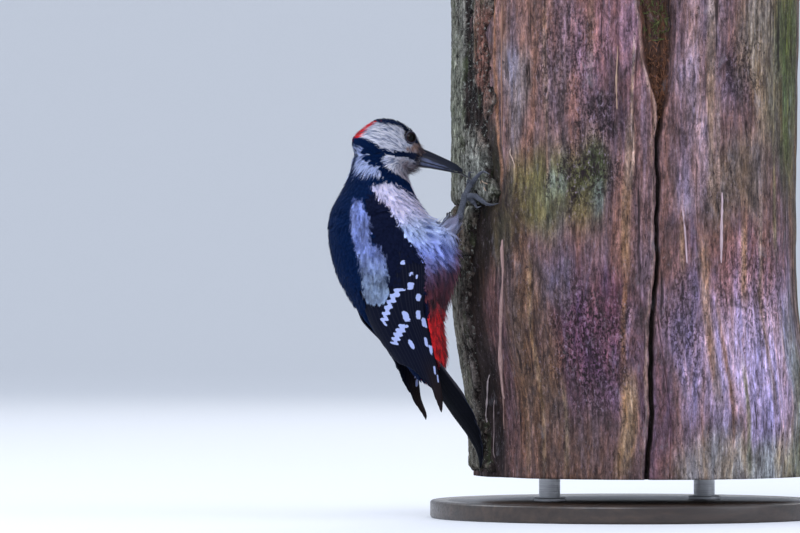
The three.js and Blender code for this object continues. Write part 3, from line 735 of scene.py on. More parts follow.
def bark_surface():
    """Dry corky bark: fine lengthwise fissures, grey lichen on the high places and green algae in drifts."""
    material, tree, shader = new_material("old_bark", Specular_IOR_Level=0.2)
    stain_and_painted_light = attribute(tree, "stain_and_painted_light", "Color")
    fibres, pores, _ = wood_grain(tree, object_places(tree, (1.0, 1.0, 0.3)), 640.0)
    tone = ramp(tree, fibres, [(0.28, 0.25), (0.44, 0.8), (0.58, 1.35), (0.74, 2.3)])
    colour = tinted(tree, stain_and_painted_light, tone)
    mottle = cloud(tree, object_places(tree, (1.0, 1.0, 0.45)), 300.0, 8.0, 0.78, 0.4)
    mottle = ramp(tree, mottle, [(0.38, 0.14), (0.47, 0.72), (0.54, 1.15), (0.64, 2.3)])
    colour = tinted(tree, colour, mottle)
    crust = cloud(tree, object_places(tree), 520.0, 6.0, 0.7, 0.5)
    colour = washed(tree, colour, crust, [(0.56, 0.0), (0.66, 0.65)], (0.33, 0.34, 0.31))
    algae = cloud(tree, object_places(tree, (1.0, 1.0, 0.5)), 120.0, 5.0, 0.6)
    colour = washed(tree, colour, algae, [(0.54, 0.0), (0.7, 0.45)], (0.08, 0.1, 0.045))
    colour = washed(tree, colour, crust, [(0.3, 0.85), (0.4, 0.0)], (0.012, 0.009, 0.008))
    coloured(tree, shader, colour, (pores, [(0.3, 0.97), (0.7, 0.8)]))
    bump(tree, shader, plus(tree, times(tree, fibres, 0.8), times(tree, crust, 1.2)), 0.0011, 0.9)
    return material


OLD_BARK = bark_surface()
for name, (right, left), (low, high) in BARK_PLATES:
    wide, tall = (right - left) * BARK_DEGREE, high - low
    shape = closed_sheet(round(wide / BARK_CELL), round(tall / BARK_ROW))
    across, along, upper = np.array([vert.co for vert in shape.verts]).T
    height = (low + tall * along) * MM
    ragged = 1.0 if name == "perch_bark_upper" else 0.6
    right_edge = right + ragged * bark_edge(height, 3.0) - np.interp(height / MM, *BARK_WORN)
    left_edge = left + bark_edge(height, 8.0)
    turn = right_edge + (left_edge - right_edge) * across
    relief = bark_relief(turn, height)
    rim = np.minimum(np.minimum(across, 1 - across) * wide, np.minimum(along, 1 - along) * tall)
    wear_and_painted_light = -2.0 * (1 - soft_step(rim + 0.6 * relief, 0.0, 3.2))
    stub = 5.2 * np.exp(-(((turn - STUB_TURN) / 3.4) ** 4) - ((height - STUB_HEIGHT) / (6.5 * MM)) ** 4)
    over = BARK_OVER + (relief * 0.75 + wear_and_painted_light + stub * (1 + 0.25 * relief)) * MM
    radius = np.where(upper > 0.5, over, BARK_UNDER)
    move_corners(shape, around_trunk(turn, height, radius))
    bmesh.ops.recalc_face_normals(shape, faces=shape.faces)
    plate = finished(name.replace("perch_", "") + "_plate", shape, OLD_BARK)
    # the worn rims go in with the relief, so they are painted darker as shade too
    paint(plate.data, "stain_and_painted_light", bark_stain_shade_and_highlight(turn, height, relief + 0.5 * wear_and_painted_light))
    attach(plate, "root")
    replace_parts(plate, name)

# ---- splinters and rotten wood ----
# Long pale splinters have lifted off the bare wood beside the bark, and the top of the crack is packed with
# crumbled orange-brown fibres.

# turns and heights along each splinter, half width and rise in millimetres, colour
SPLINTERS = [
    ([(-49.3, 154), (-48.8, 138), (-50.4, 118), (-52.8, 104), (-54.4, 92), (-56.4, 72)], 1.2, 0.55,
     (0.35, 0.225, 0.205)),
    ([(-56.2, 82), (-57.4, 70), (-58.2, 54)], 0.5, 0.5, (0.24, 0.15, 0.13)),
    ([(-63.2, 78), (-64.6, 68), (-66.2, 57)], 0.5, 1.8, (0.36, 0.3, 0.3)),
    ([(-62.6, 64), (-63.2, 50), (-63.4, 38)], 0.35, 1.2, (0.26, 0.2, 0.2)),
    ([(-48.4, 287), (-48.3, 250), (-48.0, 214)], 0.5, 0.2, (0.26, 0.14, 0.1)),
    ([(-44.0, 206), (-43.0, 202.5), (-42.0, 199.5)], 0.35, 0.8, (0.55, 0.4, 0.32)),
    ([(-57.4, 190.0), (-55.9, 188.0), (-54.7, 184.8)], 0.4, 5.3, (0.46, 0.32, 0.23)),
    ([(-56.4, 191.0), (-55.2, 189.2), (-54.0, 188.8)], 0.34, 5.4, (0.46, 0.34, 0.25)),
    ([(31.4, 181), (31.0, 166), (30.8, 147)], 0.8, 0.2, (0.5, 0.37, 0.4)),
    ([(16.6, 174), (17.5, 160), (18.0, 146)], 0.6, 0.1, (0.52, 0.38, 0.42)),
    ([(-5.0, 262), (-5.4, 246), (-5.2, 232)], 0.5, 0.4, (0.38, 0.25, 0.18)),
]


def joined(shapes):
    whole = bmesh.new()
    for shape in shapes:
        part = bpy.data.meshes.new("part")
        shape.to_mesh(part)
        shape.free()
        whole.from_mesh(part)
        bpy.data.meshes.remove(part)
    return whole


def unit(vectors):
    return vectors / np.maximum(np.linalg.norm(vectors, axis=1, keepdims=True), 1e-12)


def smooth_path(points, steps):
    """A curve through points, as even steps along Catmull-Rom spans."""
    points = np.array(points, float)
    padded = np.concatenate([[2 * points[0] - points[1]], points, [2 * points[-1] - points[-2]]])
    share = np.linspace(0, len(points) - 1, steps)
    index = np.minimum(share.astype(int), len(points) - 2)
    t = (share - index)[:, None]
    p0, p1, p2, p3 = (padded[index + i] for i in range(4))
    square, cube = 2 * p0 - 5 * p1 + 4 * p2 - p3, 3 * p1 - p0 - 3 * p2 + p3
    return 0.5 * (2 * p1 + (p2 - p0) * t + square * t**2 + cube * t**3)


def tube(points, radii, columns, rows, flatness=1.0):
    """A closed round body along a curve. Points and radii are in millimetres; flatness squeezes its sides."""
    path = smooth_path(points, rows + 1)
    heading = unit(np.gradient(path, axis=0))
    sides = unit(np.cross(heading, (0.0, 0.0, 1.0)))
    ups = np.cross(sides, heading)
    size = np.interp(np.linspace(0, 1, rows + 1), np.linspace(0, 1, len(radii)), radii)

    def place(across, along):
        row = np.rint(along * rows).astype(int)
        angle = across * math.tau
        radius = np.where((row == 0) | (row == rows), 0.02 * size[row], size[row])
        around = sides[row] * (np.cos(angle) * flatness)[:, None] + ups[row] * np.sin(angle)[:, None]
        return (path[row] + around * radius[:, None]) * MM

    shape = moulded_grid(columns, rows, place)
    bmesh.ops.remove_doubles(shape, verts=shape.verts, dist=1e-6)
    holes = [edge for edge in shape.edges if edge.is_boundary]
    if holes:
        bmesh.ops.holes_fill(shape, edges=holes)
    bmesh.ops.recalc_face_normals(shape, faces=shape.faces)
    return shape


def wood_point(turn, height, rise):
    turns, heights = np.array([turn]), np.array([height * MM])
    radius = WOOD_RADIUS + swellings(turns, heights) + wood_relief(turns, heights) + rise * MM
    return around_trunk(turns, heights, radius)[0] / MM


splinter_wood, tree, shader = new_material("splintered_wood", Specular_IOR_Level=0.3)
fibres, pores, _ = wood_grain(tree, object_places(tree, (1.0, 1.0, 0.06)), 1500.0)
tone = ramp(tree, fibres, [(0.3, 0.6), (0.5, 0.95), (0.7, 1.3)])
tone = tinted(tree, attribute(tree, "stain_and_painted_light", "Color"), tone)
coloured(tree, shader, tone, (pores, [(0.3, 0.9), (0.7, 0.7)]))
bump(tree, shader, fibres, 0.0003)

strips, tints = [], []
for line, wide, rise, colour in SPLINTERS:
    middle = [wood_point(turn, height, rise - 0.3) for turn, height in line]
    ends = [wood_point(line[0][0], line[0][1] + 5, -1.2)], [wood_point(line[-1][0], line[-1][1] - 5, -1.2)]
    wear = rough([(0.9 * i, line[0][0], wide) for i in range(24)])
    radii = wide * (0.8 + 0.7 * wear) * np.sin(np.linspace(0.12, math.pi - 0.08, 24)) ** 0.4
    strip = tube(ends[0] + middle + ends[1], radii, 8, 110, 1.2)
    tints += [colour] * len(strip.verts)
    strips.append(strip)
splinters = finished("splinters", joined(strips), splinter_wood)
paint(splinters.data, "stain_and_painted_light", np.array(tints))
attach(splinters, "root")

CRUMBS = 260
CRUMB_HEIGHTS = (222, 296)
MOSSY_FROM = 268  # above this height the crumbs are green
MOSS, ROT = np.array((0.1, 0.11, 0.035)), np.array((0.2, 0.085, 0.045))

crumb_rng = np.random.default_rng(23)
crumbs, tints = [], []
for _ in range(CRUMBS):
    height = crumb_rng.uniform(*CRUMB_HEIGHTS)
    spread = (crack_width(height * MM) / MM) * 0.9
    turn = np.interp(height * MM, CRACK_HEIGHTS, CRACK_LINE)
    turn += math.degrees(crumb_rng.uniform(-spread, spread) * MM / WOOD_RADIUS)
    foot = wood_point(turn, height, crumb_rng.uniform(-0.5, 1.2))
    lean = crumb_rng.normal(0, 1, 3) * (1.0, 1.0, 1.6)
    lean = lean / np.linalg.norm(lean) * crumb_rng.uniform(1.5, 4.5)
    bent = foot + lean * 0.5 + crumb_rng.normal(0, 0.4, 3)
    crumbs.append(tube([foot - lean * 0.5, foot, bent, foot + lean], (0.12, 0.3, 0.25, 0.06), 5, 5))
    shade = crumb_rng.uniform(0.5, 1.2)
    tints += [shade * (MOSS if height > MOSSY_FROM else ROT)] * len(crumbs[-1].verts)
rotten = finished("rotten_fibres", joined(crumbs), splinter_wood)
paint(rotten.data, "stain_and_painted_light", np.array(tints))
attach(rotten, "root")

# ---- skin of the bird ----
# One skin over head, neck, trunk, thighs and the arms of the folded wings. It lies inside the outline by the
# depth of the plumage, and has the plumage's colours where it shows between feathers.

FLESH = ("head", "neck", "trunk", "thigh_right", "thigh_left")
ARM_END = 118 * MM  # below this height a wing is feathers alone
CUT_WIDTH = 0.3 * MM
SKIN_VOXEL = 0.75 * MM
HEAD_CENTRE = np.array((-147.0, 0.0, 209.0)) * MM
HEAD_PITCH = math.radians(17)
FACE_FRONT = 15.0  # ahead of the head's centre; the feathers draw back from here to bare the bill's root
BODY_FLATNESS = 0.78
AXIS_HEIGHTS = np.array((57, 90, 120, 150, 180, 210)) * MM
AXIS_PLACES = np.array((-119.5, -128, -140, -143.5, -153, -150)) * MM


def in_head(places):
    """How far ahead of, above and aside from the head's centre each place is, in millimetres."""
    apart = (places - HEAD_CENTRE) / MM
    cos, sin = math.cos(HEAD_PITCH), math.sin(HEAD_PITCH)
    ahead = apart[:, 0] * cos - apart[:, 2] * sin
    above = apart[:, 0] * sin + apart[:, 2] * cos
    return ahead, above, np.abs(apart[:, 1])


def head_places(ahead, above, aside):
    """The same the other way: places in the model from places in the head."""
    cos, sin = math.cos(HEAD_PITCH), math.sin(HEAD_PITCH)
    apart = np.stack([ahead * cos + above * sin, aside, above * cos - ahead * sin], axis=-1)
    return HEAD_CENTRE + apart * MM


def turn_round(places):
    """Turn about the body's long axis, in degrees: 0 at the back, 90 on either side, 180 at the belly."""
    middle = np.interp(places[:, 2], AXIS_HEIGHTS, AXIS_PLACES)
    return np.degrees(np.arctan2(np.abs(places[:, 1]) / BODY_FLATNESS, middle - places[:, 0]))


def plumage_depth(places):
    """How deep the feathers lie over the skin."""
    ahead, above, _ = in_head(places)
    face = soft_step(ahead, 4, 18) * soft_step(above, -26, -12)
    head = soft_step(places[:, 2], 188 * MM, 204 * MM)
    wing = soft_step(140 * MM - places[:, 2], 0, 12 * MM) * (1 - soft_step(turn_round(places), 104, 116))
    return (1.9 - 0.7 * head - 0.6 * face + 0.8 * wing) * MM


def solid_copy(names, low=None):
    shape = bmesh.new()
    for name in names:
        shape.from_mesh(nodes[name].data)
    bmesh.ops.remove_doubles(shape, verts=shape.verts, dist=0.01 * MM)
    if low is not None:
        parts = shape.verts[:] + shape.edges[:] + shape.faces[:]
        bmesh.ops.bisect_plane(shape, geom=parts, plane_co=(0, 0, low), plane_no=(0, 0, 1), clear_inner=True)
        bmesh.ops.holes_fill(shape, edges=[edge for edge in shape.edges if edge.is_boundary])
    shape.normal_update()
    for vert in shape.verts:
        vert.co += vert.normal * CUT_WIDTH * 0.6
    return shape


def grown_together(name, shape, voxel, passes):
    """One smooth closed surface round everything in a shape."""
    lump = finished(name, shape, old_wood)
    lump.data.materials.clear()
    remesh = lump.modifiers.new("one_surface", "REMESH")
    remesh.mode = "VOXEL"
    remesh.voxel_size = voxel
    smooth = lump.modifiers.new("smooth", "SMOOTH")
    smooth.iterations = passes
    smooth.factor = 0.6
    mesh = bpy.data.meshes.new_from_object(lump.evaluated_get(bpy.context.evaluated_depsgraph_get()))
    bpy.data.objects.remove(lump)
    return mesh


def reshaped(mesh, places):
    mesh.vertices.foreach_set("co", places.astype(np.float32).ravel())
    mesh.update()


flesh = [solid_copy(FLESH), solid_copy(("wing_right", "wing_left"), ARM_END)]
outline = grown_together("skin", joined(flesh), SKIN_VOXEL, 9)
outline_places = corners_of(outline)
outline_normals = corners_of(outline, "normal")
ahead, above, _ = in_head(outline_places)
past_face = np.maximum(ahead - FACE_FRONT, 0.0) * soft_step(above, -13, -9)
forwards = np.array((math.cos(HEAD_PITCH), 0.0, -math.sin(HEAD_PITCH)))
outline_places -= (0.3 * past_face)[:, None] * MM * forwards
reshaped(outline, outline_places)
skin_mesh = outline.copy()
reshaped(skin_mesh, outline_places - outline_normals * plumage_depth(outline_places)[:, None])
skin_mesh.name = "skin"
skin = placed("skin", skin_mesh)
skin_mesh.shade_smooth()
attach(skin, "root")
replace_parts(skin, *FLESH, "wing_right", "wing_left")

# ---- markings ----
# An adult male's pattern, the same on both sides: glossy blue-black above, a black bar from the bill to the
# nape and down the side of the breast, a red nape and vent, and white cheek, neck side and shoulder patch.
# They are painted on the skin and on every small feather.

# the navy in the blacks is painted sheen, and the lavender-blue in the white is painted cool shade
BLACK = np.array((0.0018, 0.0095, 0.044))
COVERT_BLACK = np.array((0.0052, 0.0068, 0.023))
WHITE = np.array((0.8, 0.83, 1.0))
BUFF = np.array((0.44, 0.27, 0.22))
THROAT = np.array((0.26, 0.19, 0.23))
NAPE_RED = np.array((0.98, 0.004, 0.01))
VENT_RED = np.array((0.95, 0.02, 0.026))
RUSTY = np.array((0.34, 0.085, 0.12))
# the shoulder patch is white, painted darker and bluer as shade; it turns greyer towards its lower end
SHOULDER_WHITE = np.array((0.26, 0.335, 0.74))
SHOULDER_GREY = np.array((0.215, 0.285, 0.43))
NECK_SHADE = np.array((0.66, 0.76, 1.0))
THIGH = np.array((0.22, 0.22, 0.34))
# heights and the breast's colour at each: white above, painted bluer and then darker downwards as shade on
# the belly, and dull red at the bottom by the vent
BREAST_HEIGHTS = (122, 132, 142, 152, 164, 178, 192)
BREAST_COLOURS = np.array([
    (0.15, 0.028, 0.038), (0.1, 0.028, 0.05), (0.13, 0.074, 0.15), (0.32, 0.41, 1.0), (0.52, 0.64, 1.0),
    (0.78, 0.72, 1.0), (0.76, 0.74, 1.0),
])

HEELS = np.array([(-109.9, -16.2, 170.4), (-113.4, 17.0, 149.6)])
NECK_HEIGHT = 196
# corners of the black bar and breast stripe, ahead of and above the head's centre
BLACK_BAR = [
    (-23, -0.9), (-17.5, 0.2), (-12.2, -1.4), (-7, -3.7), (-2, -3.4), (3.1, -2.1), (9, -0.1), (17.5, 2.0),
    (18, -2.6), (9, -2.9), (4.3, -4.0), (-0.6, -4.6), (-3.6, -5.4), (-5.0, -7.6), (-4.8, -9.8), (-3.0, -11.6),
    (1.2, -12.8), (8.5, -14.0), (12, -14.4), (16, -15.5), (21, -19), (27, -24), (27, -22.8), (19.5, -21.2),
    (10.9, -19.6), (2.3, -18.2), (-2.4, -18.4), (-3.0, -16.2), (-5.3, -13.4), (-10.3, -11.9), (-13.6, -10.4),
    (-16.0, -5.6), (-23, -5.8),
]
# the cheek's upper edge as places ahead and above, and the nape's front edge as places above and ahead
CHEEK_TOP = (
    (-18, -14.7, -11.6, -8, -4, 1, 3.7, 6, 8, 10.5, 13, 16),
    (8.4, 11.0, 12.3, 12.6, 12.9, 13.1, 12.4, 11.2, 10.4, 8.6, 6.6, 6.6),
)
NAPE_EDGE = (-1, 2, 5, 9, 12), (-19.3, -18.8, -17.1, -14.4, -11.8)
# turn round the body and height of the white shoulder patch's corners
SHOULDER_PATCH = [
    (37, 183), (36.5, 172), (36, 163), (37, 149), (35.5, 138), (32, 130), (32, 126), (37, 122), (46, 121),
    (54, 124), (63, 131), (66, 139), (65.5, 146), (66.5, 151), (63, 156), (54, 158), (57, 163), (60.5, 169),
    (58, 176), (50, 183),
]
# heights, and the turn at each where the black of the back ends
MANTLE_HEIGHTS = (60, 120, 136, 151, 162, 168, 176, 182, 190, 191.5, 193.6, 194.2, 206)
MANTLE_TURNS = (121, 113, 102, 96.5, 91, 88, 84, 75, 57, 80, 80, 13, 8)


def inside_corners(across, along, corners):
    """Which points lie within a closed outline."""
    inside = np.zeros(len(across), bool)
    for (x0, y0), (x1, y1) in zip(corners, corners[1:] + corners[:1]):
        crosses = (y0 > along) != (y1 > along)
        with np.errstate(divide="ignore", invalid="ignore"):
            meets = x0 + (along - y0) * (x1 - x0) / (y1 - y0) if y1 != y0 else x0
        inside ^= crosses & (across < meets)
    return inside


def plumage(places):
    """The feathers' colour at many places on the bird."""
    ahead, above, aside = in_head(places)
    turn, tall = turn_round(places), places[:, 2] / MM
    flecks = rough(places / (2.6 * MM), 5.0)
    patches = rough(places / (9 * MM), 9.0)
    colours = np.tile(WHITE, (len(places), 1)) * (1 + 0.05 * patches)[:, None]
    behind_cheek = soft_step(-ahead, 2, 7) * soft_step(-above, 3, 6)
    colours = mixed(colours, behind_cheek, WHITE * NECK_SHADE)
    # breast and belly
    level = tall + 4 * patches + 3 * flecks
    belly = np.stack([np.interp(level, BREAST_HEIGHTS, channel) for channel in BREAST_COLOURS.T], axis=1)
    below_neck = soft_step(NECK_HEIGHT - tall, 0, 8)[:, None]
    colours = colours * (1 - below_neck) + belly * below_neck * (1 + 0.5 * flecks)[:, None]
    centre = soft_step(turn + 12 * flecks, 132, 165) * soft_step(166 - tall, 0, 16)
    colours = mixed(colours, (0.75 + 0.4 * patches) * centre, RUSTY)
    to_heel = np.min([np.linalg.norm(places - heel * MM, axis=1) for heel in HEELS], axis=0) / MM
    colours = mixed(colours, (0.9 + 0.6 * flecks) * (1 - soft_step(to_heel, 8, 17)), THIGH)
    vent = soft_step(121 - tall + 5 * patches + 6 * flecks, 0, 8)
    colours = mixed(colours, vent, VENT_RED * (1 + 0.5 * flecks)[:, None])
    # throat, lores and forehead
    chin = soft_step(ahead + flecks, 1, 9) * soft_step(-above, 2.5, 6) * soft_step(above, -17, -13)
    colours = mixed(colours, chin * (0.75 + 0.5 * flecks), THROAT)
    under_eye = 9.5 - 4.0 * soft_step(4.5 - above, 0, 2.5)
    lores = soft_step(ahead + 1.5 * flecks, under_eye, under_eye + 3.5) * soft_step(above, -1, 2)
    colours = mixed(colours, lores * (0.85 + 0.4 * flecks), BUFF)
    # crown, nape and bar
    ruffle = 0.5 * flecks
    cheek_top = np.interp(ahead, *CHEEK_TOP)
    crown = (above + ruffle > cheek_top) & (ahead < 16.2 - 0.12 * (above - 9))
    nape = (above + ruffle > cheek_top) | (ahead + ruffle < np.interp(above, *NAPE_EDGE))
    nape &= (ahead < -10.5) & (above > -1.0)
    bar = inside_corners(ahead, above + ruffle, BLACK_BAR) & ((aside > 6.5) | (above > -9) | (ahead < 2))
    mantle = turn + 1.5 * flecks < np.interp(tall + flecks, MANTLE_HEIGHTS, MANTLE_TURNS)
    mantle &= tall < 206
    patch = inside_corners(turn, tall + 0.8 * flecks, SHOULDER_PATCH)
    colours[crown | bar | (mantle & ~(nape | (above > -2)))] = BLACK
    colours[mantle & (turn > 58) & (tall < 186)] = COVERT_BLACK
    colours[nape] = NAPE_RED
    patch &= tall < 185
    clumps = np.clip(1 + 0.9 * flecks + 0.9 * patches, 0.35, 1.7)[:, None]
    shoulder = mixed(np.tile(SHOULDER_WHITE, (len(places), 1)), soft_step(158 - tall, 0, 24), SHOULDER_GREY)
    colours[patch] = (shoulder * clumps)[patch]
    return colours


# the skin is painted a fifth darker than the feathers, as shade down between them
paint(skin_mesh, "plumage", plumage(outline_places) * 0.8)


def less(tree, first, second):
    return arithmetic(tree, "SUBTRACT", first, second)


def vane_axes(tree):
    """How far a place on a feather is from its shaft, from 0 to 0.5, and how far along it, from 0 to 1."""
    split = add_node(tree, "SeparateXYZ", {"Vector": add_node(tree, "UVMap", uv_map="vane").outputs["UV"]})
    return arithmetic(tree, "ABSOLUTE", less(tree, split.outputs["X"], 0.5)), split.outputs["Y"]


def feather_surface(name, roughness_stops, **constants):
    """Plumage: the feather's own colour, with fine barbs that run out from its shaft to its edges."""
    material, tree, shader = new_material(name, **constants)
    colour = attribute(tree, "plumage", "Color")
    off_shaft, along = vane_axes(tree)
    slant = less(tree, times(tree, along, 1.4), off_shaft)
    ripple = cloud(tree, object_places(tree), 260.0, 2.0)
    phase = plus(tree, times(tree, slant, 55.0), times(tree, ripple, 9.0))
    barbs = arithmetic(tree, "MULTIPLY_ADD", arithmetic(tree, "SINE", phase), 0.5)
    barbs.node.inputs[2].default_value = 0.5
    mottle = cloud(tree, object_places(tree), 900.0, 3.0, 0.6)
    shade = plus(tree, times(tree, barbs, 0.16), times(tree, mottle, 0.5))
    shade = plus(tree, shade, 0.68)
    coloured(tree, shader, tinted(tree, colour, shade), (mottle, roughness_stops))
    bump(tree, shader, plus(tree, barbs, mottle), 0.00018, 0.6)
    return material


SOFT_PLUMAGE = feather_surface(
    "soft_plumage", [(0.3, 0.88), (0.7, 0.74)], Sheen_Weight=0.1, Sheen_Roughness=0.5,
    Sheen_Tint=(0.8, 0.85, 1.0, 1.0), Specular_IOR_Level=0.25
)
GLOSSY_PLUMAGE = feather_surface(
    "glossy_plumage", [(0.3, 0.72), (0.7, 0.55)], Specular_IOR_Level=0.07,
    Specular_Tint=(0.25, 0.55, 1.0, 1.0)
)
skin_mesh.materials.append(SOFT_PLUMAGE)
skin_mesh.uv_layers.new(name="vane")

# ---- small feathers of head and body ----
# Each is a thin closed vane with a frayed tip, or a tuft of loose barbs. Its root is in the skin, and it lies
# away from the bill, down the body and out along the thighs, under the one before it.

BILL_ROOT = np.array(Vector(head_places(21, -1, 0)))
SEED_COUNT = 230_000

outline_faces = [tuple(face.vertices) for face in outline.polygons]
outline_tree = BVHTree.FromPolygons(outline_places.tolist(), outline_faces)


def seeds_on(mesh, places, normals, count, rng):
    """Places spread evenly at random over a mesh, with the surface's normal at each."""
    mesh.calc_loop_triangles()
    corners = np.empty(len(mesh.loop_triangles) * 3, np.int32)
    mesh.loop_triangles.foreach_get("vertices", corners)
    corners = corners.reshape(-1, 3)
    edges = places[corners[:, 1:]] - places[corners[:, :1]]
    areas = np.linalg.norm(np.cross(edges[:, 0], edges[:, 1]), axis=1)
    chosen = rng.choice(len(corners), count, p=areas / areas.sum())
    first, second = rng.random((2, count, 1))
    over = first + second > 1
    first, second = np.where(over, 1 - first, first), np.where(over, 1 - second, second)
    a, b, c = (corners[chosen, i] for i in range(3))
    spots = places[a] * (1 - first - second) + places[b] * first + places[c] * second
    facing = normals[a] * (1 - first - second) + normals[b] * first + normals[c] * second
    return spots, facing / np.linalg.norm(facing, axis=1, keepdims=True)


def thinned(spots, apart):
    """The indices of spots of which no two lie nearer than the first one's own distance."""
    tree = KDTree(len(spots))
    for i, spot in enumerate(spots):
        tree.insert(spot, i)
    tree.balance()
    gone = np.zeros(len(spots), bool)
    kept = []
    for i, spot in enumerate(spots):
        if gone[i]:
            continue
        kept.append(i)
        for _, j, _ in tree.find_range(spot, apart[i]):
            gone[j] = True
    return np.array(kept, int)


def lie_of(places, normals):
    """The way feathers point at each place, along the surface."""
    flow = np.tile((0.0, 0.0, -1.0), (len(places), 1))
    flow[:, 0] = 0.7 * soft_step(turn_round(places), 84, 108) * soft_step(places[:, 2], 128 * MM, 146 * MM)
    from_bill = unit(places - BILL_ROOT)
    head = soft_step(places[:, 2], 186 * MM, 204 * MM)[:, None]
    flow = flow * (1 - head) + from_bill * head
    for heel in HEELS:
        to_heel = heel * MM - places
        near = np.linalg.norm(to_heel, axis=1, keepdims=True)
        same_side = np.sign(heel[1]) * places[:, 1:2] > 0
        share = (1 - soft_step(near, 9 * MM, 15 * MM)) * same_side
        flow = flow * (1 - share) + unit(to_heel) * share
    return unit(flow - normals * (flow * normals).sum(axis=1, keepdims=True))


def vane_shape():
    """A closed vane, 1 wide and 1 long, with its root at the origin: two fans that meet in a frayed rim."""
    half = [(0.22, 0.16), (0.42, 0.42), (0.5, 0.66), (0.44, 0.84), (0.3, 0.9), (0.26, 1.0), (0.12, 0.93)]
    rim = [(0.0, 0.0), *half, (0.0, 1.04), *((-across, along) for across, along in reversed(half))]
    shape = bmesh.new()
    bmesh.ops.create_cone(
        shape, cap_ends=True, cap_tris=True, segments=len(rim), radius1=1, radius2=0, depth=1
    )
    ring = [vert for vert in shape.verts if abs(vert.co.x) + abs(vert.co.y) > 0.1]
    ring.sort(key=lambda vert: math.atan2(vert.co.x, -vert.co.y) % math.tau)
    for vert, (across, along) in zip(ring, rim):
        vert.co = (across, along, -0.14 * abs(across) * along)
    for vert in shape.verts:
        if vert not in ring:
            vert.co = (0.0, 0.62, 0.025 if vert.co.z > 0 else -0.02)
    bmesh.ops.recalc_face_normals(shape, faces=shape.faces)
    return shape


def tuft_shape(count, spread, rng):
    """Loose barbs that fan out from one root: long three-sided spikes."""
    shape = bmesh.new()
    laid_flat = Matrix.Rotation(math.radians(-90), 3, "X")
    for i in range(count):
        share = (i / (count - 1) - 0.5) * 2
        length = rng.uniform(0.78, 1.05) - 0.12 * abs(share)
        spike = bmesh.ops.create_cone(
            shape, cap_ends=True, cap_tris=True, segments=3, radius1=0.055, radius2=0.0, depth=length
        )["verts"]
        bmesh.ops.translate(shape, verts=spike, vec=(0, 0, length / 2))
        bmesh.ops.rotate(shape, verts=spike, cent=(0, 0, 0), matrix=laid_flat)
        turn = Matrix.Rotation(-spread * share + rng.uniform(-0.08, 0.08), 3, "Z")
        bmesh.ops.rotate(shape, verts=spike, cent=(0, 0, 0), matrix=turn)
        bmesh.ops.translate(shape, verts=spike, vec=(0.12 * share, 0, rng.uniform(-0.02, 0.05)))
    return shape


def pattern_of(shape):
    """A small shape as arrays, to be repeated many times in one mesh."""
    bmesh.ops.triangulate(shape, faces=shape.faces)
    shape.verts.index_update()
    corners = np.array([vert.co for vert in shape.verts])
    faces = np.array([[vert.index for vert in face.verts] for face in shape.faces])
    shape.free()
    return corners, faces


def stamped(name, places, facing, faces, colours, vane, bake, material):
    """One mesh of many small closed shapes. places, facing and colours have a row for each shape and in it a
    row for each corner; vane and bake are the corners' places in the two UV maps."""
    count, points = places.shape[:2]
    indices = (faces[None] + (np.arange(count) * points)[:, None, None]).reshape(-1)
    mesh = bpy.data.meshes.new(name)
    mesh.vertices.add(count * points)
    mesh.vertices.foreach_set("co", places.astype(np.float32).ravel())
    mesh.loops.add(len(indices))
    mesh.loops.foreach_set("vertex_index", indices.astype(np.int32))
    mesh.polygons.add(len(indices) // 3)
    mesh.polygons.foreach_set("loop_start", np.arange(0, len(indices), 3, dtype=np.int32))
    mesh.update(calc_edges=True)
    mesh.shade_smooth()
    paint(mesh, "plumage", colours.reshape(-1, 3))
    for layer, spots in (("vane", vane), ("OFBake", bake)):
        uv = mesh.uv_layers.new(name=layer)
        uv.data.foreach_set("uv", spots.reshape(-1, 2)[indices].astype(np.float32).ravel())
    if facing is not None:
        mesh.normals_split_custom_set_from_vertices(unit(facing.reshape(-1, 3)).tolist())
    mesh.materials.append(material)
    piece = placed(name, mesh)
    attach(piece, "root")
    return piece


def planted(name, pattern, roots, lies, ups, sizes, colours, spread_out, material):
    """Many feathers of one shape. sizes are width, length and height; spread_out is each root's place on the
    unwrapped skin, from 0 to 1 both ways."""
    corners, faces = pattern
    sides = np.cross(lies, ups)
    ups = np.cross(sides, lies)
    axes = np.stack([sides, lies, ups], axis=1)
    places = roots[:, None, :] + np.einsum("nti,nij->ntj", corners[None] * sizes[:, None, :], axes)
    rounded = np.array([[0.9 * across, 0.15, 1.0] for across, _, _ in corners])
    facing = np.einsum("ti,nij->ntj", rounded, axes)
    own = np.stack([corners[:, 0] + 0.5, corners[:, 1]], axis=1)
    # each feather is darker towards its root: partly the grey down at its base, partly painted shade under
    # the feathers that lie over it
    shade = (0.62 + 0.42 * np.clip(corners[:, 1], 0, 1))[None, :, None]
    vane = np.broadcast_to(own, (len(roots), *own.shape))
    bake = spread_out[:, None, :] + (own[None] - 0.5) * 0.003
    return stamped(name, places, facing, faces, colours[:, None, :] * shade, vane, bake, material)


def unwrapped(places):
    """Each place on the skin opened out flat: round the body, and down it from the crown."""
    ahead, above, _ = in_head(places)
    round_body = np.arctan2(places[:, 1], np.interp(places[:, 2], AXIS_HEIGHTS, AXIS_PLACES) - places[:, 0])
    round_head = np.arctan2((places[:, 1] - HEAD_CENTRE[1]) / MM, above)
    from_bill = np.arctan2(np.hypot(above, places[:, 1] / MM), ahead)
    flat = np.where(
        (places[:, 2] > NECK_HEIGHT * MM)[:, None],
        np.stack([round_head / math.tau + 0.5, from_bill / math.pi], axis=1),
        np.stack([round_body / math.tau + 0.5, (NECK_HEIGHT * MM - places[:, 2]) / (140 * MM)], axis=1),
    )
    low, high = flat.min(axis=0), flat.max(axis=0)
    return 0.004 + 0.992 * (flat - low) / (high - low)


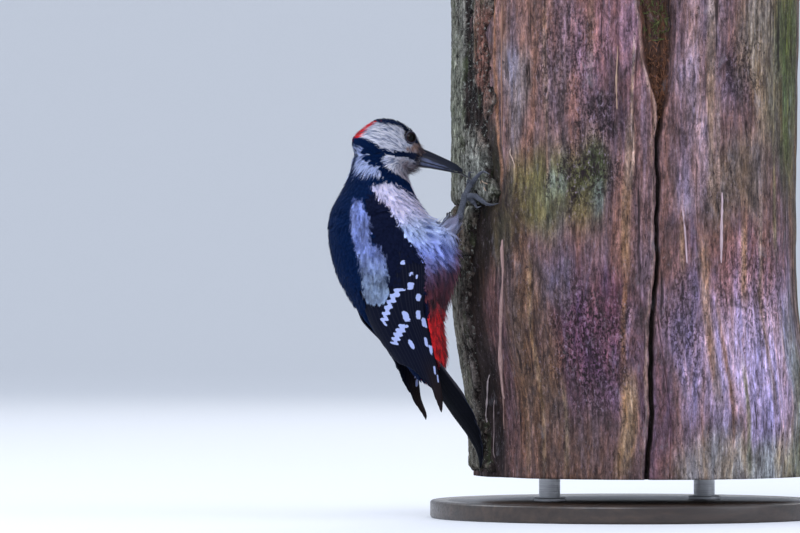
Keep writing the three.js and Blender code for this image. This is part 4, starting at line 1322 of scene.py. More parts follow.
rng = np.random.default_rng(7)
seeds, seed_normals = seeds_on(outline, outline_places, outline_normals, SEED_COUNT, rng)
seed_ahead, seed_above, _ = in_head(seeds)
seed_turns, seed_talls = turn_round(seeds), seeds[:, 2] / MM
seed_colours = plumage(seeds)

SHOULDER_TURN, SHOULDER_TOP = 74, 184  # where the white shoulder's own feathers end
# heights, and the share of dark strands among the tufts at each; then that share on the shoulder
DIM_SHARES = (118, 122, 138, 148, 190, 200), (0.5, 0.5, 0.5, 0.3, 0.3, 0.38)
DIM_ON_SHOULDER = 0.42


def sow(name, pattern, wanted, spacing, width, length, lift, slot, scatter=0.1):
    """Feathers over the wanted part of the skin, with sizes in millimetres. lift is how far above the outline
    the tips come, least and most. Black ones are glossy."""
    material = GLOSSY_PLUMAGE if slot == "plumage_black" else SOFT_PLUMAGE
    chosen = np.flatnonzero(wanted)
    apart = np.broadcast_to(spacing, len(seeds))[chosen] * MM
    chosen = chosen[thinned(seeds[chosen], apart)]
    spots, normals, count = seeds[chosen], seed_normals[chosen], len(chosen)
    vary = rng.uniform(0.88, 1.12, (2, count))
    sizes = (np.broadcast_to(size, len(seeds))[chosen] * MM for size in (width, length))
    wide, long = (size * by for size, by in zip(sizes, vary))
    lies = lie_of(spots, normals)
    sides = np.cross(normals, lies)
    lies = unit(lies + sides * rng.normal(0, scatter, count)[:, None])
    roots = spots - normals * (plumage_depth(spots)[:, None] + 0.2 * MM) - lies * long[:, None] * 0.45
    tips = spots + lies * long[:, None] * 0.55
    landed = [outline_tree.find_nearest(tip)[:2] for tip in tips]
    tips, tip_normals = (np.array(part) for part in zip(*landed))
    tips = tips + tip_normals * rng.uniform(lift[0], lift[1], count)[:, None] * MM
    lies = unit(tips - roots)
    paleness = rng.uniform(0.85, 1.12, (count, 1))
    if pattern is TUFT:
        dim = np.interp(seed_talls[chosen], *DIM_SHARES)
        dim = np.where(seed_turns[chosen] < SHOULDER_TURN, DIM_ON_SHOULDER, dim)[:, None]
        paleness = np.where(rng.random((count, 1)) < dim, rng.uniform(0.14, 0.7, (count, 1)), paleness * 1.35)
    colours = seed_colours[chosen] * paleness ** np.array((1.25, 1.1, 0.8))
    sizes = np.stack([wide, np.linalg.norm(tips - roots, axis=1), wide], axis=1)
    ups = unit(normals + tip_normals)
    piece = planted(name, pattern, roots, lies, ups, sizes, colours, unwrapped(spots), material)


EYE_PLACE = (8.3, 8.3, 6.9)  # ahead of, above and aside from the head's centre
HEAD_FOOT, BELLY_TOP = 190, 152
WING_INNER = 22  # turn of the folded wings' inner edges, over the lower back
VANE = pattern_of(vane_shape())
TUFT = pattern_of(tuft_shape(8, 0.22, rng))
seed_black = seed_colours.sum(axis=1) < 0.1
on_head = seed_talls > HEAD_FOOT
off_eye = np.hypot(seed_ahead - EYE_PLACE[0], seed_above - EYE_PLACE[1]) > 3.7
off_bill = (seed_ahead < 20.5) | (np.abs(seed_above - 0.2) > 6)
face = off_eye & off_bill & on_head
size_on_head = 1.5 + 1.9 * soft_step(20 - seed_ahead, 0, 30) + 1.2 * soft_step(200 - seed_talls, 0, 10)
sow("head_black_feathers", VANE, face & seed_black, 0.85 + 0.16 * size_on_head, 0.62 * size_on_head,
    1.55 * size_on_head, (0.0, 0.35), "plumage_black", 0.14)
sow("head_white_feathers", TUFT, face & ~seed_black, 0.36 + 0.15 * size_on_head, 0.44 * size_on_head,
    1.8 * size_on_head, (0.0, 0.7), "plumage_white", 0.16)
body = ~on_head
wing_top = 134.5 + 4 * rough(seeds / (4 * MM), 13.0)
in_wing = (seed_turns > WING_INNER) & (seed_turns < np.interp(seed_talls, (96, 118, 137), (121, 113, 103)))
in_wing &= seed_talls < wing_top + 14 * soft_step(seed_turns, 75, 81)
back = body & seed_black & (seed_turns < 60) & ~in_wing
sow("back_feathers", VANE, back, 1.5, 3.2, 8.6, (0.0, 0.3), "plumage_black")
coverts = body & seed_black & (seed_turns >= 60) & ~in_wing
sow("wing_coverts", VANE, coverts, 1.7, 3.8, 9.4, (0.0, 0.3), "plumage_black", 0.06)
near_shoulder = (seed_turns < SHOULDER_TURN) & (seed_talls < SHOULDER_TOP)
shoulder = body & ~seed_black & near_shoulder & (seed_talls > 125)
sow("shoulder_feathers", VANE, shoulder, 1.6, 3.0, 10.0, (-0.5, -0.2), "plumage_white", 0.06)
sow("shoulder_down", TUFT, shoulder, 0.85, 2.4, 10.5, (0.3, 1.1), "plumage_white", 0.14)
breast = body & ~seed_black & ~near_shoulder & ~in_wing
sow("breast_feathers", VANE, breast, 1.6, 3.0, 8.4, (-0.7, -0.3), "plumage_belly", 0.12)
above_belly = seed_talls > BELLY_TOP
sow("breast_down", TUFT, breast & above_belly, 1.0, 2.2, 8.6, (0.1, 0.9), "plumage_belly", 0.16)
sow("belly_down", TUFT, breast & ~above_belly, 1.0, 2.3, 9.0, (0.1, 1.0), "plumage_belly", 0.2)
vent = breast & (seed_talls < 122)
sow("vent_fluff", TUFT, vent, 1.5, 3.0, 9.5, (0.8, 2.2), "plumage_belly", 0.22)
fluff = breast & (seed_turns > 120) & (seed_talls > 116) & (seed_talls < np.where(seeds[:, 1] > 0, 146, 170))
sow("belly_fluff", TUFT, fluff, 2.0, 4.2, 11.0, (1.5, 4.2), "plumage_belly", 0.3)

# ---- folded wings ----
# Each folded wing is a stack of stiff flight feathers on the wing's outer face: the innermost secondaries lie
# on top, the long primaries slide out under them and make the tip. White spots make bars across the wing.

# height, back edge, front edge and half width, all in millimetres
WING_SECTIONS = np.array([
    (57, -27, -12, 9.4), (64, -32.6, -9.6, 11.2), (72, -34.8, -10.6, 13.2), (77, -37.8, -11.2, 14.4),
    (82, -40.6, -11.8, 15.5), (90, -46, -12.2, 16.8), (106, -57, -13.5, 18.6), (116, -63.2, -15, 20.4),
    (126, -70, -11.5, 23), (136, -75.6, -7, 25.2), (146, -79.1, -5, 26.3), (156, -81, -8.5, 26.3),
    (166, -81.5, -17.6, 25), (176, -79.2, -27.5, 21.8), (184, -74, -32.4, 17.8),
])
WING_FRAME = -100.0  # the sections' places are measured from here
SWAY_TOP, SWAY_BOTTOM = 184.0, 57.0
SECONDARIES = 9
PRIMARIES = 8
QUILL_COLUMNS, QUILL_ROWS = 8, 56
QUILL_THICKNESS = 0.22
FRONT_TURN = 106.5  # where the folded wing's front edge lies

# middle of each white spot as turn and height on the wing, then half width, half length and slant
WING_SPOTS = [
    (80.8, 144.6, 1.2, 1.5, 0.5), (87.7, 138.3, 1.7, 1.1, -0.4), (93.8, 136.6, 0.8, 1.6, 0.2),
    (86.9, 131.5, 1.9, 2.5, 0.1), (97.0, 125.2, 1.8, 2.4, 0.1), (95.6, 115.3, 1.8, 3.2, 0.2),
    (103.8, 110.8, 1.9, 3.3, 0.2), (96.1, 99.6, 1.4, 3.2, 0.2), (101.5, 95.1, 1.3, 3.3, 0.2),
    (97.2, 83.4, 1.1, 3.2, 0.2), (101, 78.4, 0.9, 2.8, 0.2), (77.5, 114.2, 1.9, 3.4, -0.05),
    (69, 98.5, 1.6, 3.3, -0.1),
]
# the two bars of linked spots, from their upper to their lower ends
WING_BARS = [((76.5, 130.4), (40, 110.2), 13), ((70.5, 109.6), (38.5, 98.4), 10)]
BAR_SWING, BAR_HALF_WIDTH = 1.45, 0.98

QUILL_BLACK, QUILL_BROWN = np.array((0.0042, 0.0052, 0.014)), np.array((0.019, 0.012, 0.01))

# the back edge, front edge and half width, smoothed, at every millimetre of height
SECTION_HEIGHTS = np.arange(50.0, 190.0)
SECTION_ROWS = [np.interp(SECTION_HEIGHTS, WING_SECTIONS[:, 0], row) for row in WING_SECTIONS.T[1:]]
SECTION_ROWS = [np.convolve(np.pad(row, 4, "edge"), np.ones(9) / 9, "valid") for row in SECTION_ROWS]


def wing_place(turn, height, lift, side):
    """Places on a folded wing from turn, height and lift over its outer face. side is -1 on the right."""
    back, front, half = (np.interp(height, SECTION_HEIGHTS, row) for row in SECTION_ROWS)
    middle, reach = (back + front) / 2, (front - back) / 2
    angle = np.radians(turn)
    down = np.clip((SWAY_TOP - height) / (SWAY_TOP - SWAY_BOTTOM), 0, 1) ** (1 / 0.85)
    slip = side * down**3
    tucked = 5.0 * soft_step(height, 78, 90) - 2.0 * np.exp(-(((height - 70) / 7) ** 2))
    tucked = tucked * soft_step(114 - height, 0, 16) * (side > 0)
    x = WING_FRAME + middle - (reach + lift) * np.cos(angle) - slip + tucked
    return np.stack([x, side * (half + lift) * np.sin(angle), height - 2.4 * slip], axis=-1) * MM


def girth(height):
    """Millimetres to one degree of turn."""
    return np.radians(np.interp(height, SECTION_HEIGHTS, SECTION_ROWS[2]) * 1.05)


def spot_depth(turn, height, jitter):
    """How far inside the nearest white spot each place is, in its own half widths; below 0 outside it."""
    deepest = np.full(turn.shape, -3.0)
    for spot_turn, spot_height, wide, long, slant in WING_SPOTS:
        across = (turn - spot_turn) * girth(height) + jitter
        along = height - spot_height
        cos, sin = math.cos(slant), math.sin(slant)
        u, v = across * cos - along * sin, across * sin + along * cos
        deepest = np.maximum(deepest, 1.0 - ((u / wide) ** 4 + (v / long) ** 4) ** 0.25)
    for (first_turn, first_height), (last_turn, last_height), count in WING_BARS:
        scale = float(girth((first_height + last_height) / 2))
        start = np.array((first_turn * scale, first_height))
        run = np.array((last_turn * scale, last_height)) - start
        aside = np.array((run[1], -run[0])) / np.linalg.norm(run) * BAR_SWING
        corners = [start + run * i / (count - 1) + aside * (1 if i % 2 else -1) for i in range(count)]
        spots = np.stack([turn * scale, height], axis=1)
        for corner, following in zip(corners, corners[1:]):
            step = following - corner
            share = np.clip(((spots - corner) @ step) / (step @ step), 0, 1)
            gap = np.linalg.norm(spots - corner - share[:, None] * step, axis=1)
            deepest = np.maximum(deepest, 1.0 - gap / BAR_HALF_WIDTH)
    return deepest


def vane_width(along, sharpness, ragged, seed):
    """Share of full width down a flight feather: a narrow root, even sides and a rounded or sharp tip."""
    root = 0.35 + 0.65 * soft_step(along, 0.0, 0.22)
    tip = np.sqrt(np.clip(1 - np.clip((along - 1 + sharpness) / sharpness, 0, 1) ** 2.0, 0, 1))
    wobble = 1 + ragged * rough(np.stack([along * 26, along * 0 + seed, along * 9], axis=1))
    return root * tip * wobble + 0.02


def quill_paths():
    """Each flight feather's root, tip, width, tip's sharpness and lift, as turns, heights and millimetres."""
    paths = []
    tips = (0, 0.12, 0.4, 0.6, 0.8, 1.0), (21, 27, 47, 57, 68, 76), (93, 86.5, 84.5, 81.5, 77, 73)
    for i in range(SECONDARIES):
        share = i / (SECONDARIES - 1)
        tip = [np.interp(share, tips[0], row) for row in tips[1:]]
        paths.append(((32 + 42 * share, 142 + 8 * share), tip, 8.6 - 1.6 * share, 0.16, -0.06 * i))
    tips = (84, 89, 94, 98.6, 101.5, 103.6, 104.8, 105.6), (70, 64.5, 61, 58.4, 61.5, 67, 75, 86)
    for i in range(PRIMARIES):
        share = i / (PRIMARIES - 1)
        root, tip = (78 + 22 * share, 162 - 6 * share), (tips[0][i], tips[1][i])
        paths.append((root, tip, 6.4 - 2.2 * share, 0.2, -0.6 - 0.07 * i))
    return paths


QUILL = pattern_of(closed_sheet(QUILL_COLUMNS, QUILL_ROWS))


def from_rim(across):
    """0 at a flight feather's edges, and 1 from an eighth of its width inwards."""
    return np.clip(8 * np.minimum(across, 1 - across), 0, 1)


def mark(mesh, name, values):
    """A number for each vertex, kept as an attribute that the material reads."""
    values = np.array(values, np.float32).ravel()
    mesh.attributes.new(name, "FLOAT", "POINT").data.foreach_set("value", values)


def quills(name, places, colours, spots, shafts):
    """Flight feathers as one piece, each with its own strip of the bake map. Their rims are kept sharp."""
    corners, faces = QUILL
    own = np.broadcast_to(corners[:, :2], (len(places), *corners[:, :2].shape))
    strips = (np.arange(len(places))[:, None, None] + own[..., :1] * 0.92 + 0.04) / len(places)
    bake = np.concatenate([strips, own[..., 1:]], axis=2)
    piece = stamped(name, np.array(places), None, faces, np.array(colours), own, bake, FLIGHT_FEATHERS)
    mark(piece.data, "white_spots", spots)
    mark(piece.data, "off_shaft", shafts)
    shape = bmesh.new()
    shape.from_mesh(piece.data)
    bmesh.ops.recalc_face_normals(shape, faces=shape.faces)
    shape.to_mesh(piece.data)
    shape.free()
    piece.data.set_sharp_from_angle(angle=math.radians(60))
    return piece


def folded_wing(name, side):
    across, along, upper = QUILL[0].T
    places, spots, colours, shafts = [], [], [], []
    for i, (root, tip, wide, sharpness, order) in enumerate(quill_paths()):
        (root_turn, root_height), (tip_turn, tip_height) = root, tip
        height = root_height + (tip_height - root_height) * along
        bow = along + 0.35 * along * (1 - along)
        middle = root_turn + (tip_turn - root_turn) * bow
        off = (across - 0.5) * wide * vane_width(along, sharpness, 0.05, i + 10.0)
        turn = np.minimum(middle + off / girth(height), FRONT_TURN)
        ridge = 0.16 * np.exp(-((off / 0.45) ** 2)) * (1 - 0.6 * along)
        surfaces = np.interp(turn, (58, 73, 80), (110, 136, 150))
        sunk = -1.7 * soft_step(height, surfaces, surfaces + 13)
        cupped = -0.32 * ((across - 0.5) * 2) ** 2
        thickness = 0.1 + (QUILL_THICKNESS + ridge) * from_rim(across)
        lift = order + sunk + cupped + upper * thickness
        places.append(wing_place(turn, height, lift, side))
        spots.append(spot_depth(turn, height, 0.25 * math.sin(7.3 * i)))
        brown = soft_step(96 - height, 0, 26) * soft_step(turn, 62, 90)
        colours.append(QUILL_BLACK + brown[:, None] * (QUILL_BROWN - QUILL_BLACK))
        shafts.append(off)
    quills(name, places, colours, spots, shafts)


def flight_feather_surface():
    """Black vanes with a shaft, slanting barbs, pale rims and white spots with ragged edges."""
    material, tree, shader = new_material(
        "flight_feathers", Specular_IOR_Level=0.08, Specular_Tint=(0.45, 0.62, 1.0, 1.0)
    )
    base = attribute(tree, "plumage", "Color")
    spots = attribute(tree, "white_spots")
    off = attribute(tree, "off_shaft")
    side, along = vane_axes(tree)
    away = arithmetic(tree, "ABSOLUTE", off)
    ripple = cloud(tree, object_places(tree), 500.0, 3.0, 0.6)
    slant = less(tree, times(tree, along, 90.0), away)
    phase = plus(tree, times(tree, slant, 11.0), times(tree, ripple, 8.0))
    barbs = plus(tree, times(tree, arithmetic(tree, "SINE", phase), 0.5), 0.5)
    shade = plus(tree, times(tree, barbs, 0.35), 0.75)
    colour = tinted(tree, base, shade)
    colour = washed(tree, colour, side, [(0.465, 0.0), (0.495, 0.32)], (0.07, 0.08, 0.13))
    colour = washed(tree, colour, away, [(0.1, 0.5), (0.32, 0.0)], (0.018, 0.018, 0.026))
    ragged = plus(tree, spots, times(tree, less(tree, ripple, 0.5), 0.7))
    white = ramp(tree, ragged, [(0.1, 0.0), (0.24, 0.95)])
    colour = blend_colour(tree, white, colour, (0.42, 0.49, 0.8))
    coloured(tree, shader, colour, (barbs, [(0.0, 0.74), (1.0, 0.56)]))
    bump(tree, shader, barbs, 0.00012, 0.5)
    return material


FLIGHT_FEATHERS = flight_feather_surface()
folded_wing("right_flight_feathers", -1)
folded_wing("left_flight_feathers", 1)

# ---- tail ----
# Twelve stiff pointed feathers, propped on the trunk. The middle pair is the longest and lies on top, and the
# outer ones are shorter, with pale bars at their edges.

# height, middle, half width and fall of the sides, in millimetres
TAIL_SECTIONS = np.array([
    (28.5, 9.4, 2.6, 0.1), (34, 8.9, 5.2, 0.6), (40, 6.9, 8, 2), (48, 1.8, 10.6, 3.6),
    (58, -6.2, 12.6, 5), (68, -13.6, 12.6, 5.2), (78, -20.4, 11.6, 4.4), (92, -28.5, 9.4, 2.4),
])
# each pair's place across the tail at its root and tip, height of its tip, width and depth under the top
TAIL_PAIRS = [
    (0.1, 0.22, 29.0, 6.8, 0.0), (0.28, 0.5, 32.5, 6.6, 0.42), (0.46, 0.62, 38.0, 6.4, 0.84),
    (0.62, 0.74, 44.0, 6.2, 1.26), (0.76, 0.83, 51.0, 6.0, 1.68), (0.86, 0.9, 62.0, 5.0, 2.1),
]
TAIL_ROOT = 92.0
TAIL_NORMAL = (-0.86, -0.51)
TAIL_BLACK, TAIL_BAR = np.array((0.0028, 0.0026, 0.0036)), np.array((0.05, 0.045, 0.05))


def tail_place(aside, height, lift):
    """Places on the tail's upper face from the distance aside, height and lift, in millimetres."""
    middle, half, fall = (np.interp(height, TAIL_SECTIONS[:, 0], row) for row in TAIL_SECTIONS.T[1:])
    drop = fall * np.clip(aside / half, -1.1, 1.1) ** 2
    x = WING_FRAME + middle + drop + TAIL_NORMAL[0] * lift
    return np.stack([x, aside, height + 0.35 * drop + TAIL_NORMAL[1] * lift], axis=-1) * MM


across, along, upper = QUILL[0].T
places, colours, shafts = [], [], []
for i, (root_share, tip_share, tip_height, wide, depth) in enumerate(TAIL_PAIRS):
    for side in (-1, 1):
        height = TAIL_ROOT + (tip_height - TAIL_ROOT) * along
        half = np.interp(height, TAIL_SECTIONS[:, 0], TAIL_SECTIONS[:, 2])
        share = root_share + (tip_share - root_share) * along
        off = (across - 0.5) * wide * vane_width(along, 0.34, 0.04, i + 40.0 + 3 * side)
        aside = side * np.maximum(share * half - 0.5 * wide * 0.35, 0.3) + off
        aside = np.clip(aside, -half * 1.04, half * 1.04)
        ridge = 0.22 * np.exp(-((off / 0.5) ** 2))
        cupped = -0.45 * ((across - 0.5) * 2) ** 2
        thickness = 0.12 + (0.26 + ridge) * from_rim(across)
        lift = -0.25 - depth - 0.12 * (side > 0) + cupped + upper * thickness
        places.append(tail_place(aside, height, lift))
        outer = soft_step(np.abs(aside) / half, 0.95, 1.0) * (i == len(TAIL_PAIRS) - 1)
        colours.append(TAIL_BLACK + outer[:, None] * TAIL_BAR)
        shafts.append(off)
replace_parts(quills("tail_feathers", places, colours, np.full(np.shape(shafts), -2.0), shafts), "tail")

# ---- bill and tongue ----
# Two horny halves, long, straight and chisel-tipped. The upper one has a ridge along its top and another down
# each flank from the nostril. They are a little open, and the tip of the thin barbed tongue reaches out.

BILL_START, BILL_TIP = 14.5, 47.4  # ahead of the head's centre, in millimetres
GAPE_START, GAPE_RISE = -1.9, 2.0
# across and above one half of a section, as shares of its half width and height, from its top to its middle
UPPER_SECTION = [(0.0, 1.0), (0.16, 0.97), (0.34, 0.8), (0.62, 0.6), (0.74, 0.5), (0.76, 0.4),
                 (0.9, 0.14), (1.0, -0.03), (0.86, -0.02), (0.55, 0.12), (0.0, 0.16)]
LOWER_SECTION = [(0.0, -0.14), (0.6, -0.12), (0.92, 0.02), (1.0, -0.06), (0.96, -0.34), (0.74, -0.7),
                 (0.4, -0.92), (0.16, -1.0), (0.0, -1.0)]
BILL_COLUMNS, BILL_ROWS = 48, 72


def gape_at(ahead):
    """Height of the line where the bill's halves meet."""
    return GAPE_START + GAPE_RISE * (ahead - BILL_START) / (BILL_TIP - BILL_START)


def half_bill(section, heights, widths, tip, opening):
    """One half of the bill. heights and widths are given at even steps from its root to its tip."""
    outline = np.array(section + [(-x, y) for x, y in section[-2:0:-1]] + section[:1])
    steps = np.concatenate([[0], np.cumsum(np.hypot(*np.diff(outline, axis=0).T))])

    def place(across, along):
        s = np.clip((along - 0.01) / 0.98, 0, 1)
        closing = np.clip(np.minimum(along, 1 - along) / 0.01, 0, 1)
        reached = across * steps[-1]
        x = np.interp(reached, steps, outline[:, 0])
        y = np.interp(reached, steps, outline[:, 1])
        middle = 0.5 * (section[0][1] + section[-1][1])
        x, y = x * closing, middle + (y - middle) * closing
        even = np.linspace(0, 1, len(heights))
        height, width = np.interp(s, even, heights), np.interp(s, even, widths)
        ahead = BILL_START + (tip - BILL_START) * s
        gape = gape_at(ahead) + opening * s
        wear = 0.04 * rough(np.stack([ahead * 0.9, y * 3, x * 3], axis=1))
        return head_places(ahead, gape + (height + wear) * y, width * x)

    return sewn(moulded_grid(BILL_COLUMNS, BILL_ROWS, place), 2e-6)


def horn_surface(name, dark, pale, ridge):
    """Horn with fine lengthwise lines, darker towards the tip, and a paler flank, which on the bill is a
    painted highlight.
    """
    material, tree, shader = new_material(name, Coat_Weight=0.12, Coat_Roughness=0.3, Specular_IOR_Level=0.45)
    level = {"Vector": add_node(tree, "TexCoord").outputs["Object"], "Rotation": (0.0, -HEAD_PITCH, 0.0)}
    along_bill = add_node(tree, "Mapping", level).outputs["Vector"]
    lined = add_node(tree, "Mapping", {"Vector": along_bill, "Scale": (0.06, 1.0, 1.0)})
    lines = cloud(tree, lined.outputs["Vector"], 2600.0, 4.0, 0.6)
    blotches = cloud(tree, object_places(tree, (0.5, 1.0, 1.0)), 260.0, 4.0, 0.6)
    flank = attribute(tree, "flank")
    # the flank's painted highlight, broken up by blotches
    wear_and_painted_light = plus(tree, flank, times(tree, less(tree, blotches, 0.5), 0.9))
    colour = blend_colour(tree, ramp(tree, wear_and_painted_light, [(0.2, 0.0), (0.8, 1.0)]), dark, pale)
    colour = blend_colour(tree, ramp(tree, lines, [(0.35, 0.5), (0.6, 0.0)]), colour, ridge)
    coloured(tree, shader, colour, (lines, [(0.3, 0.5), (0.7, 0.32)]))
    bump(tree, shader, lines, 0.00008, 0.6)
    return material


def flank_mask(piece, low, high):
    """Marks the paler flank, a painted highlight: a band along each half, strongest near the root."""
    ahead, above, _ = in_head(corners_of(piece.data))
    reach = np.clip((BILL_TIP - ahead) / (BILL_TIP - BILL_START), 0.02, 1)
    level = (above - gape_at(ahead)) / reach
    band = soft_step(level, low, low + 0.7) * (1 - soft_step(level, high - 0.7, high))
    mark(piece.data, "flank", band * (0.35 + 0.65 * reach))


horn = horn_surface("bill_horn", (0.012, 0.015, 0.028), (0.1, 0.12, 0.21), (0.007, 0.008, 0.014))
# section, heights, widths, tip, opening, then the flank's limits
BILL_HALVES = {
    "upper": (UPPER_SECTION, (7.6, 7.6, 7.1, 6.4, 5.6, 4.8, 3.8, 1.7),
              (4.9, 4.2, 3.5, 2.8, 2.15, 1.55, 1.0, 0.55), BILL_TIP, 0.15, (0.3, 3.4)),
    "lower": (LOWER_SECTION, (4.4, 3.8, 2.9, 2.2, 1.75, 1.35, 0.95, 0.5),
              (4.7, 4.0, 3.3, 2.6, 2.0, 1.45, 0.9, 0.45), BILL_TIP - 1.3, -0.35, (-2.9, -0.1)),
}
for half, (*sizes, flank) in BILL_HALVES.items():
    bill = finished(half + "_bill", half_bill(*sizes), horn)
    flank_mask(bill, *flank)
    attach(bill, "root")
    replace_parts(bill, "bill_" + half)

TONGUE_PATH = [(-104.5, -1.0, 195.6), (-103.4, -3.2, 195.0), (-104.2, -10.0, 193.6), (-105.2, -24.0, 191.2)]
wet_tongue, tree, shader = new_material(
    "tongue", Coat_Weight=0.05, Coat_Roughness=0.3, Specular_IOR_Level=0.2
)
mottle = cloud(tree, object_places(tree), 1500.0, 3.0, 0.6)
dark = ramp(tree, mottle, [(0.3, (0.004, 0.003, 0.004)), (0.7, (0.012, 0.007, 0.009))])
coloured(tree, shader, dark, (mottle, [(0.3, 0.5), (0.7, 0.3)]))
bump(tree, shader, mottle, 0.00006)
barbs = [tube(TONGUE_PATH, (0.66, 0.64, 0.62, 0.56, 0.26), 10, 36)]
path = smooth_path(TONGUE_PATH, 60)
for i in range(6):
    foot = path[40 + 3 * i]
    back = unit(path[None, 38 + 3 * i] - foot)[0]
    out = np.array((0.8, 0.0, 0.6)) * (1 if i % 2 else -1)
    barbs.append(tube([foot, foot + 0.25 * out, foot + 0.5 * out + 0.45 * back], (0.09, 0.07, 0.02), 6, 6))
tongue_tip = finished("tongue_tip", joined(barbs), wet_tongue)
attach(tongue_tip, "root")
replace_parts(tongue_tip, "tongue")

# ---- eyes ----
# Each eye is a taxidermist's glass eye with a deep brown-red iris and a wide black pupil. It is set in the
# head inside a wrinkled ring of bare dark lid.

EYE_RADIUS = 3.9
LID_RADIUS = 3.15
LID_THICKNESS = 0.42
LID_STEPS = 56
LID_WRINKLES = 28

glass, tree, shader = new_material(
    "glass_eye", Coat_Weight=0.05, Coat_Roughness=0.03, Specular_IOR_Level=0.07
)
off_axis = attribute(tree, "off_axis")
streaks = cloud(tree, object_places(tree), 1400.0, 3.0, 0.6)
iris = ramp(tree, streaks, [(0.3, (0.007, 0.004, 0.006)), (0.7, (0.02, 0.009, 0.011))])
colour = blend_colour(tree, ramp(tree, off_axis, [(0.34, 0.0), (0.38, 1.0)]), (0.002, 0.002, 0.002), iris)
colour = washed(tree, colour, off_axis, [(0.45, 0.0), (0.54, 1.0)], (0.008, 0.004, 0.004))
coloured(tree, shader, colour, (streaks, [(0.3, 0.14), (0.7, 0.08)]))

bare_skin, tree, shader = new_material("bare_lid", Specular_IOR_Level=0.4)
beads = add_node(tree, "TexVoronoi", {"Vector": object_places(tree), "Scale": 2600.0}).outputs["Distance"]
greys = ramp(tree, beads, [(0.0, (0.055, 0.05, 0.085)), (0.6, (0.014, 0.013, 0.024))])
coloured(tree, shader, greys, (beads, [(0.0, 0.45), (0.6, 0.7)]))
bump(tree, shader, beads, -0.00015)

for name, side in (("right", -1), ("left", 1)):
    centre = Vector(head_places(*EYE_PLACE[:2], side * EYE_PLACE[2]))
    gaze = Vector((0.1, side, 0.1)).normalized()
    turn_to_gaze = gaze.to_track_quat("Z", "Y").to_matrix().to_4x4()
    shape = bmesh.new()
    bmesh.ops.create_uvsphere(shape, u_segments=48, v_segments=40, radius=EYE_RADIUS * MM)
    for vert in shape.verts:
        bulge = max(0.0, vert.co.z / (EYE_RADIUS * MM) - 0.8)
        vert.co.z += bulge * 1.1 * MM
    off_axis = [math.acos(max(-1.0, min(1.0, vert.co.normalized().z))) / math.pi * 2 for vert in shape.verts]
    bmesh.ops.transform(shape, matrix=Matrix.Translation(centre) @ turn_to_gaze, verts=shape.verts)
    eye = finished(name + "_eye", shape, glass)
    mark(eye.data, "off_axis", off_axis)
    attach(eye, "root")
    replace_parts(eye, "eye_" + name)
    shape = bmesh.new()
    level = math.sqrt(EYE_RADIUS**2 - LID_RADIUS**2) + 0.12
    ring = bmesh.ops.create_circle(shape, segments=14, radius=LID_THICKNESS * MM)["verts"]
    bmesh.ops.rotate(shape, verts=ring, cent=(0, 0, 0), matrix=Matrix.Rotation(math.radians(90), 3, "X"))
    bmesh.ops.translate(shape, verts=ring, vec=(LID_RADIUS * MM, 0, level * MM))
    spun(shape, shape.verts[:] + shape.edges[:], LID_STEPS)
    for vert in shape.verts:
        around = math.atan2(vert.co.y, vert.co.x)
        vert.co.z += 0.05 * MM * math.sin(LID_WRINKLES * around) - 0.25 * MM * math.cos(2 * around)
    bmesh.ops.transform(shape, matrix=Matrix.Translation(centre) @ turn_to_gaze, verts=shape.verts)
    lid = finished(name + "_eyelid", shape, bare_skin)
    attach(lid, "root")

# ---- bristles about the bill ----
# Stiff hair-like feathers are rooted in the skin about the bill. They lean forward over the nostrils, under
# the chin and along the gape.


def bristles(name, count, ahead, above, aside, heading, length, colours):
    """Bristles rooted evenly between limits in head places, on both sides, along a heading in head places."""
    roots, lies = [], []
    for _ in range(count):
        side = 1 if rng.random() < 0.5 else -1
        spot = np.array((rng.uniform(*ahead), rng.uniform(*above), side * rng.uniform(*aside)))
        root = head_places(*spot)
        tip = head_places(*(spot + np.array(heading) * (1, 1, side) + rng.normal(0, 0.12, 3)))
        near, facing, _, _ = outline_tree.find_nearest(root)
        roots.append(np.array(near) - np.array(facing) * 0.4 * MM)
        lies.append(tip - root)
    roots, lies = np.array(roots), unit(np.array(lies))
    ups = unit(np.tile((0.0, 0.0, 1.0), (count, 1)) + 0.8 * unit(roots - HEAD_CENTRE))
    ups = unit(ups - lies * (ups * lies).sum(axis=1, keepdims=True))
    sizes = np.tile(np.array((0.9, length, 0.9)) * MM, (count, 1)) * rng.uniform(0.7, 1.15, (count, 1))
    shades = np.array(colours)[rng.integers(0, len(colours), count)]
    piece = planted(name, TUFT, roots, lies, ups, sizes, shades, unwrapped(roots), SOFT_PLUMAGE)


bristles("nostril_bristles", 170, (12.5, 19.0), (2.0, 6.4), (1.0, 6.5), (1.0, -0.22, 0.05), 4.2,
         [BUFF * 1.4, BUFF * 0.8, BUFF * 0.25, BLACK * 3])
bristles("chin_bristles", 170, (9.0, 21.0), (-8.6, -4.6), (0.3, 5.6), (1.0, -0.02, 0.05), 5.0,
         [THROAT * 1.3, BUFF * 0.8, THROAT * 0.5, WHITE * 0.5])
bristles("gape_bristles", 120, (13.0, 19.0), (-4.2, 1.6), (3.5, 6.5), (1.0, -0.1, -0.1), 3.6,
         [BLACK * 2, BUFF * 0.15, BUFF * 0.4])

# ---- legs and feet ----
# Short scaled legs with two toes up and two toes down, spread flat on the bark. Overlapping plates run down
# the front of each leg and along the top of each toe, and every toe ends in a deep hooked claw.


def on_trunk(aside, height, rise):
    """A place on the trunk's bird side from its distance aside, height and rise over the surface, in mm."""
    reach = WOOD_RADIUS / MM + 3 + rise
    out = reach - math.sqrt(reach**2 - aside**2) - rise + float(bend_at(height * MM)) / MM
    return (WING_FRAME + out, aside, height)


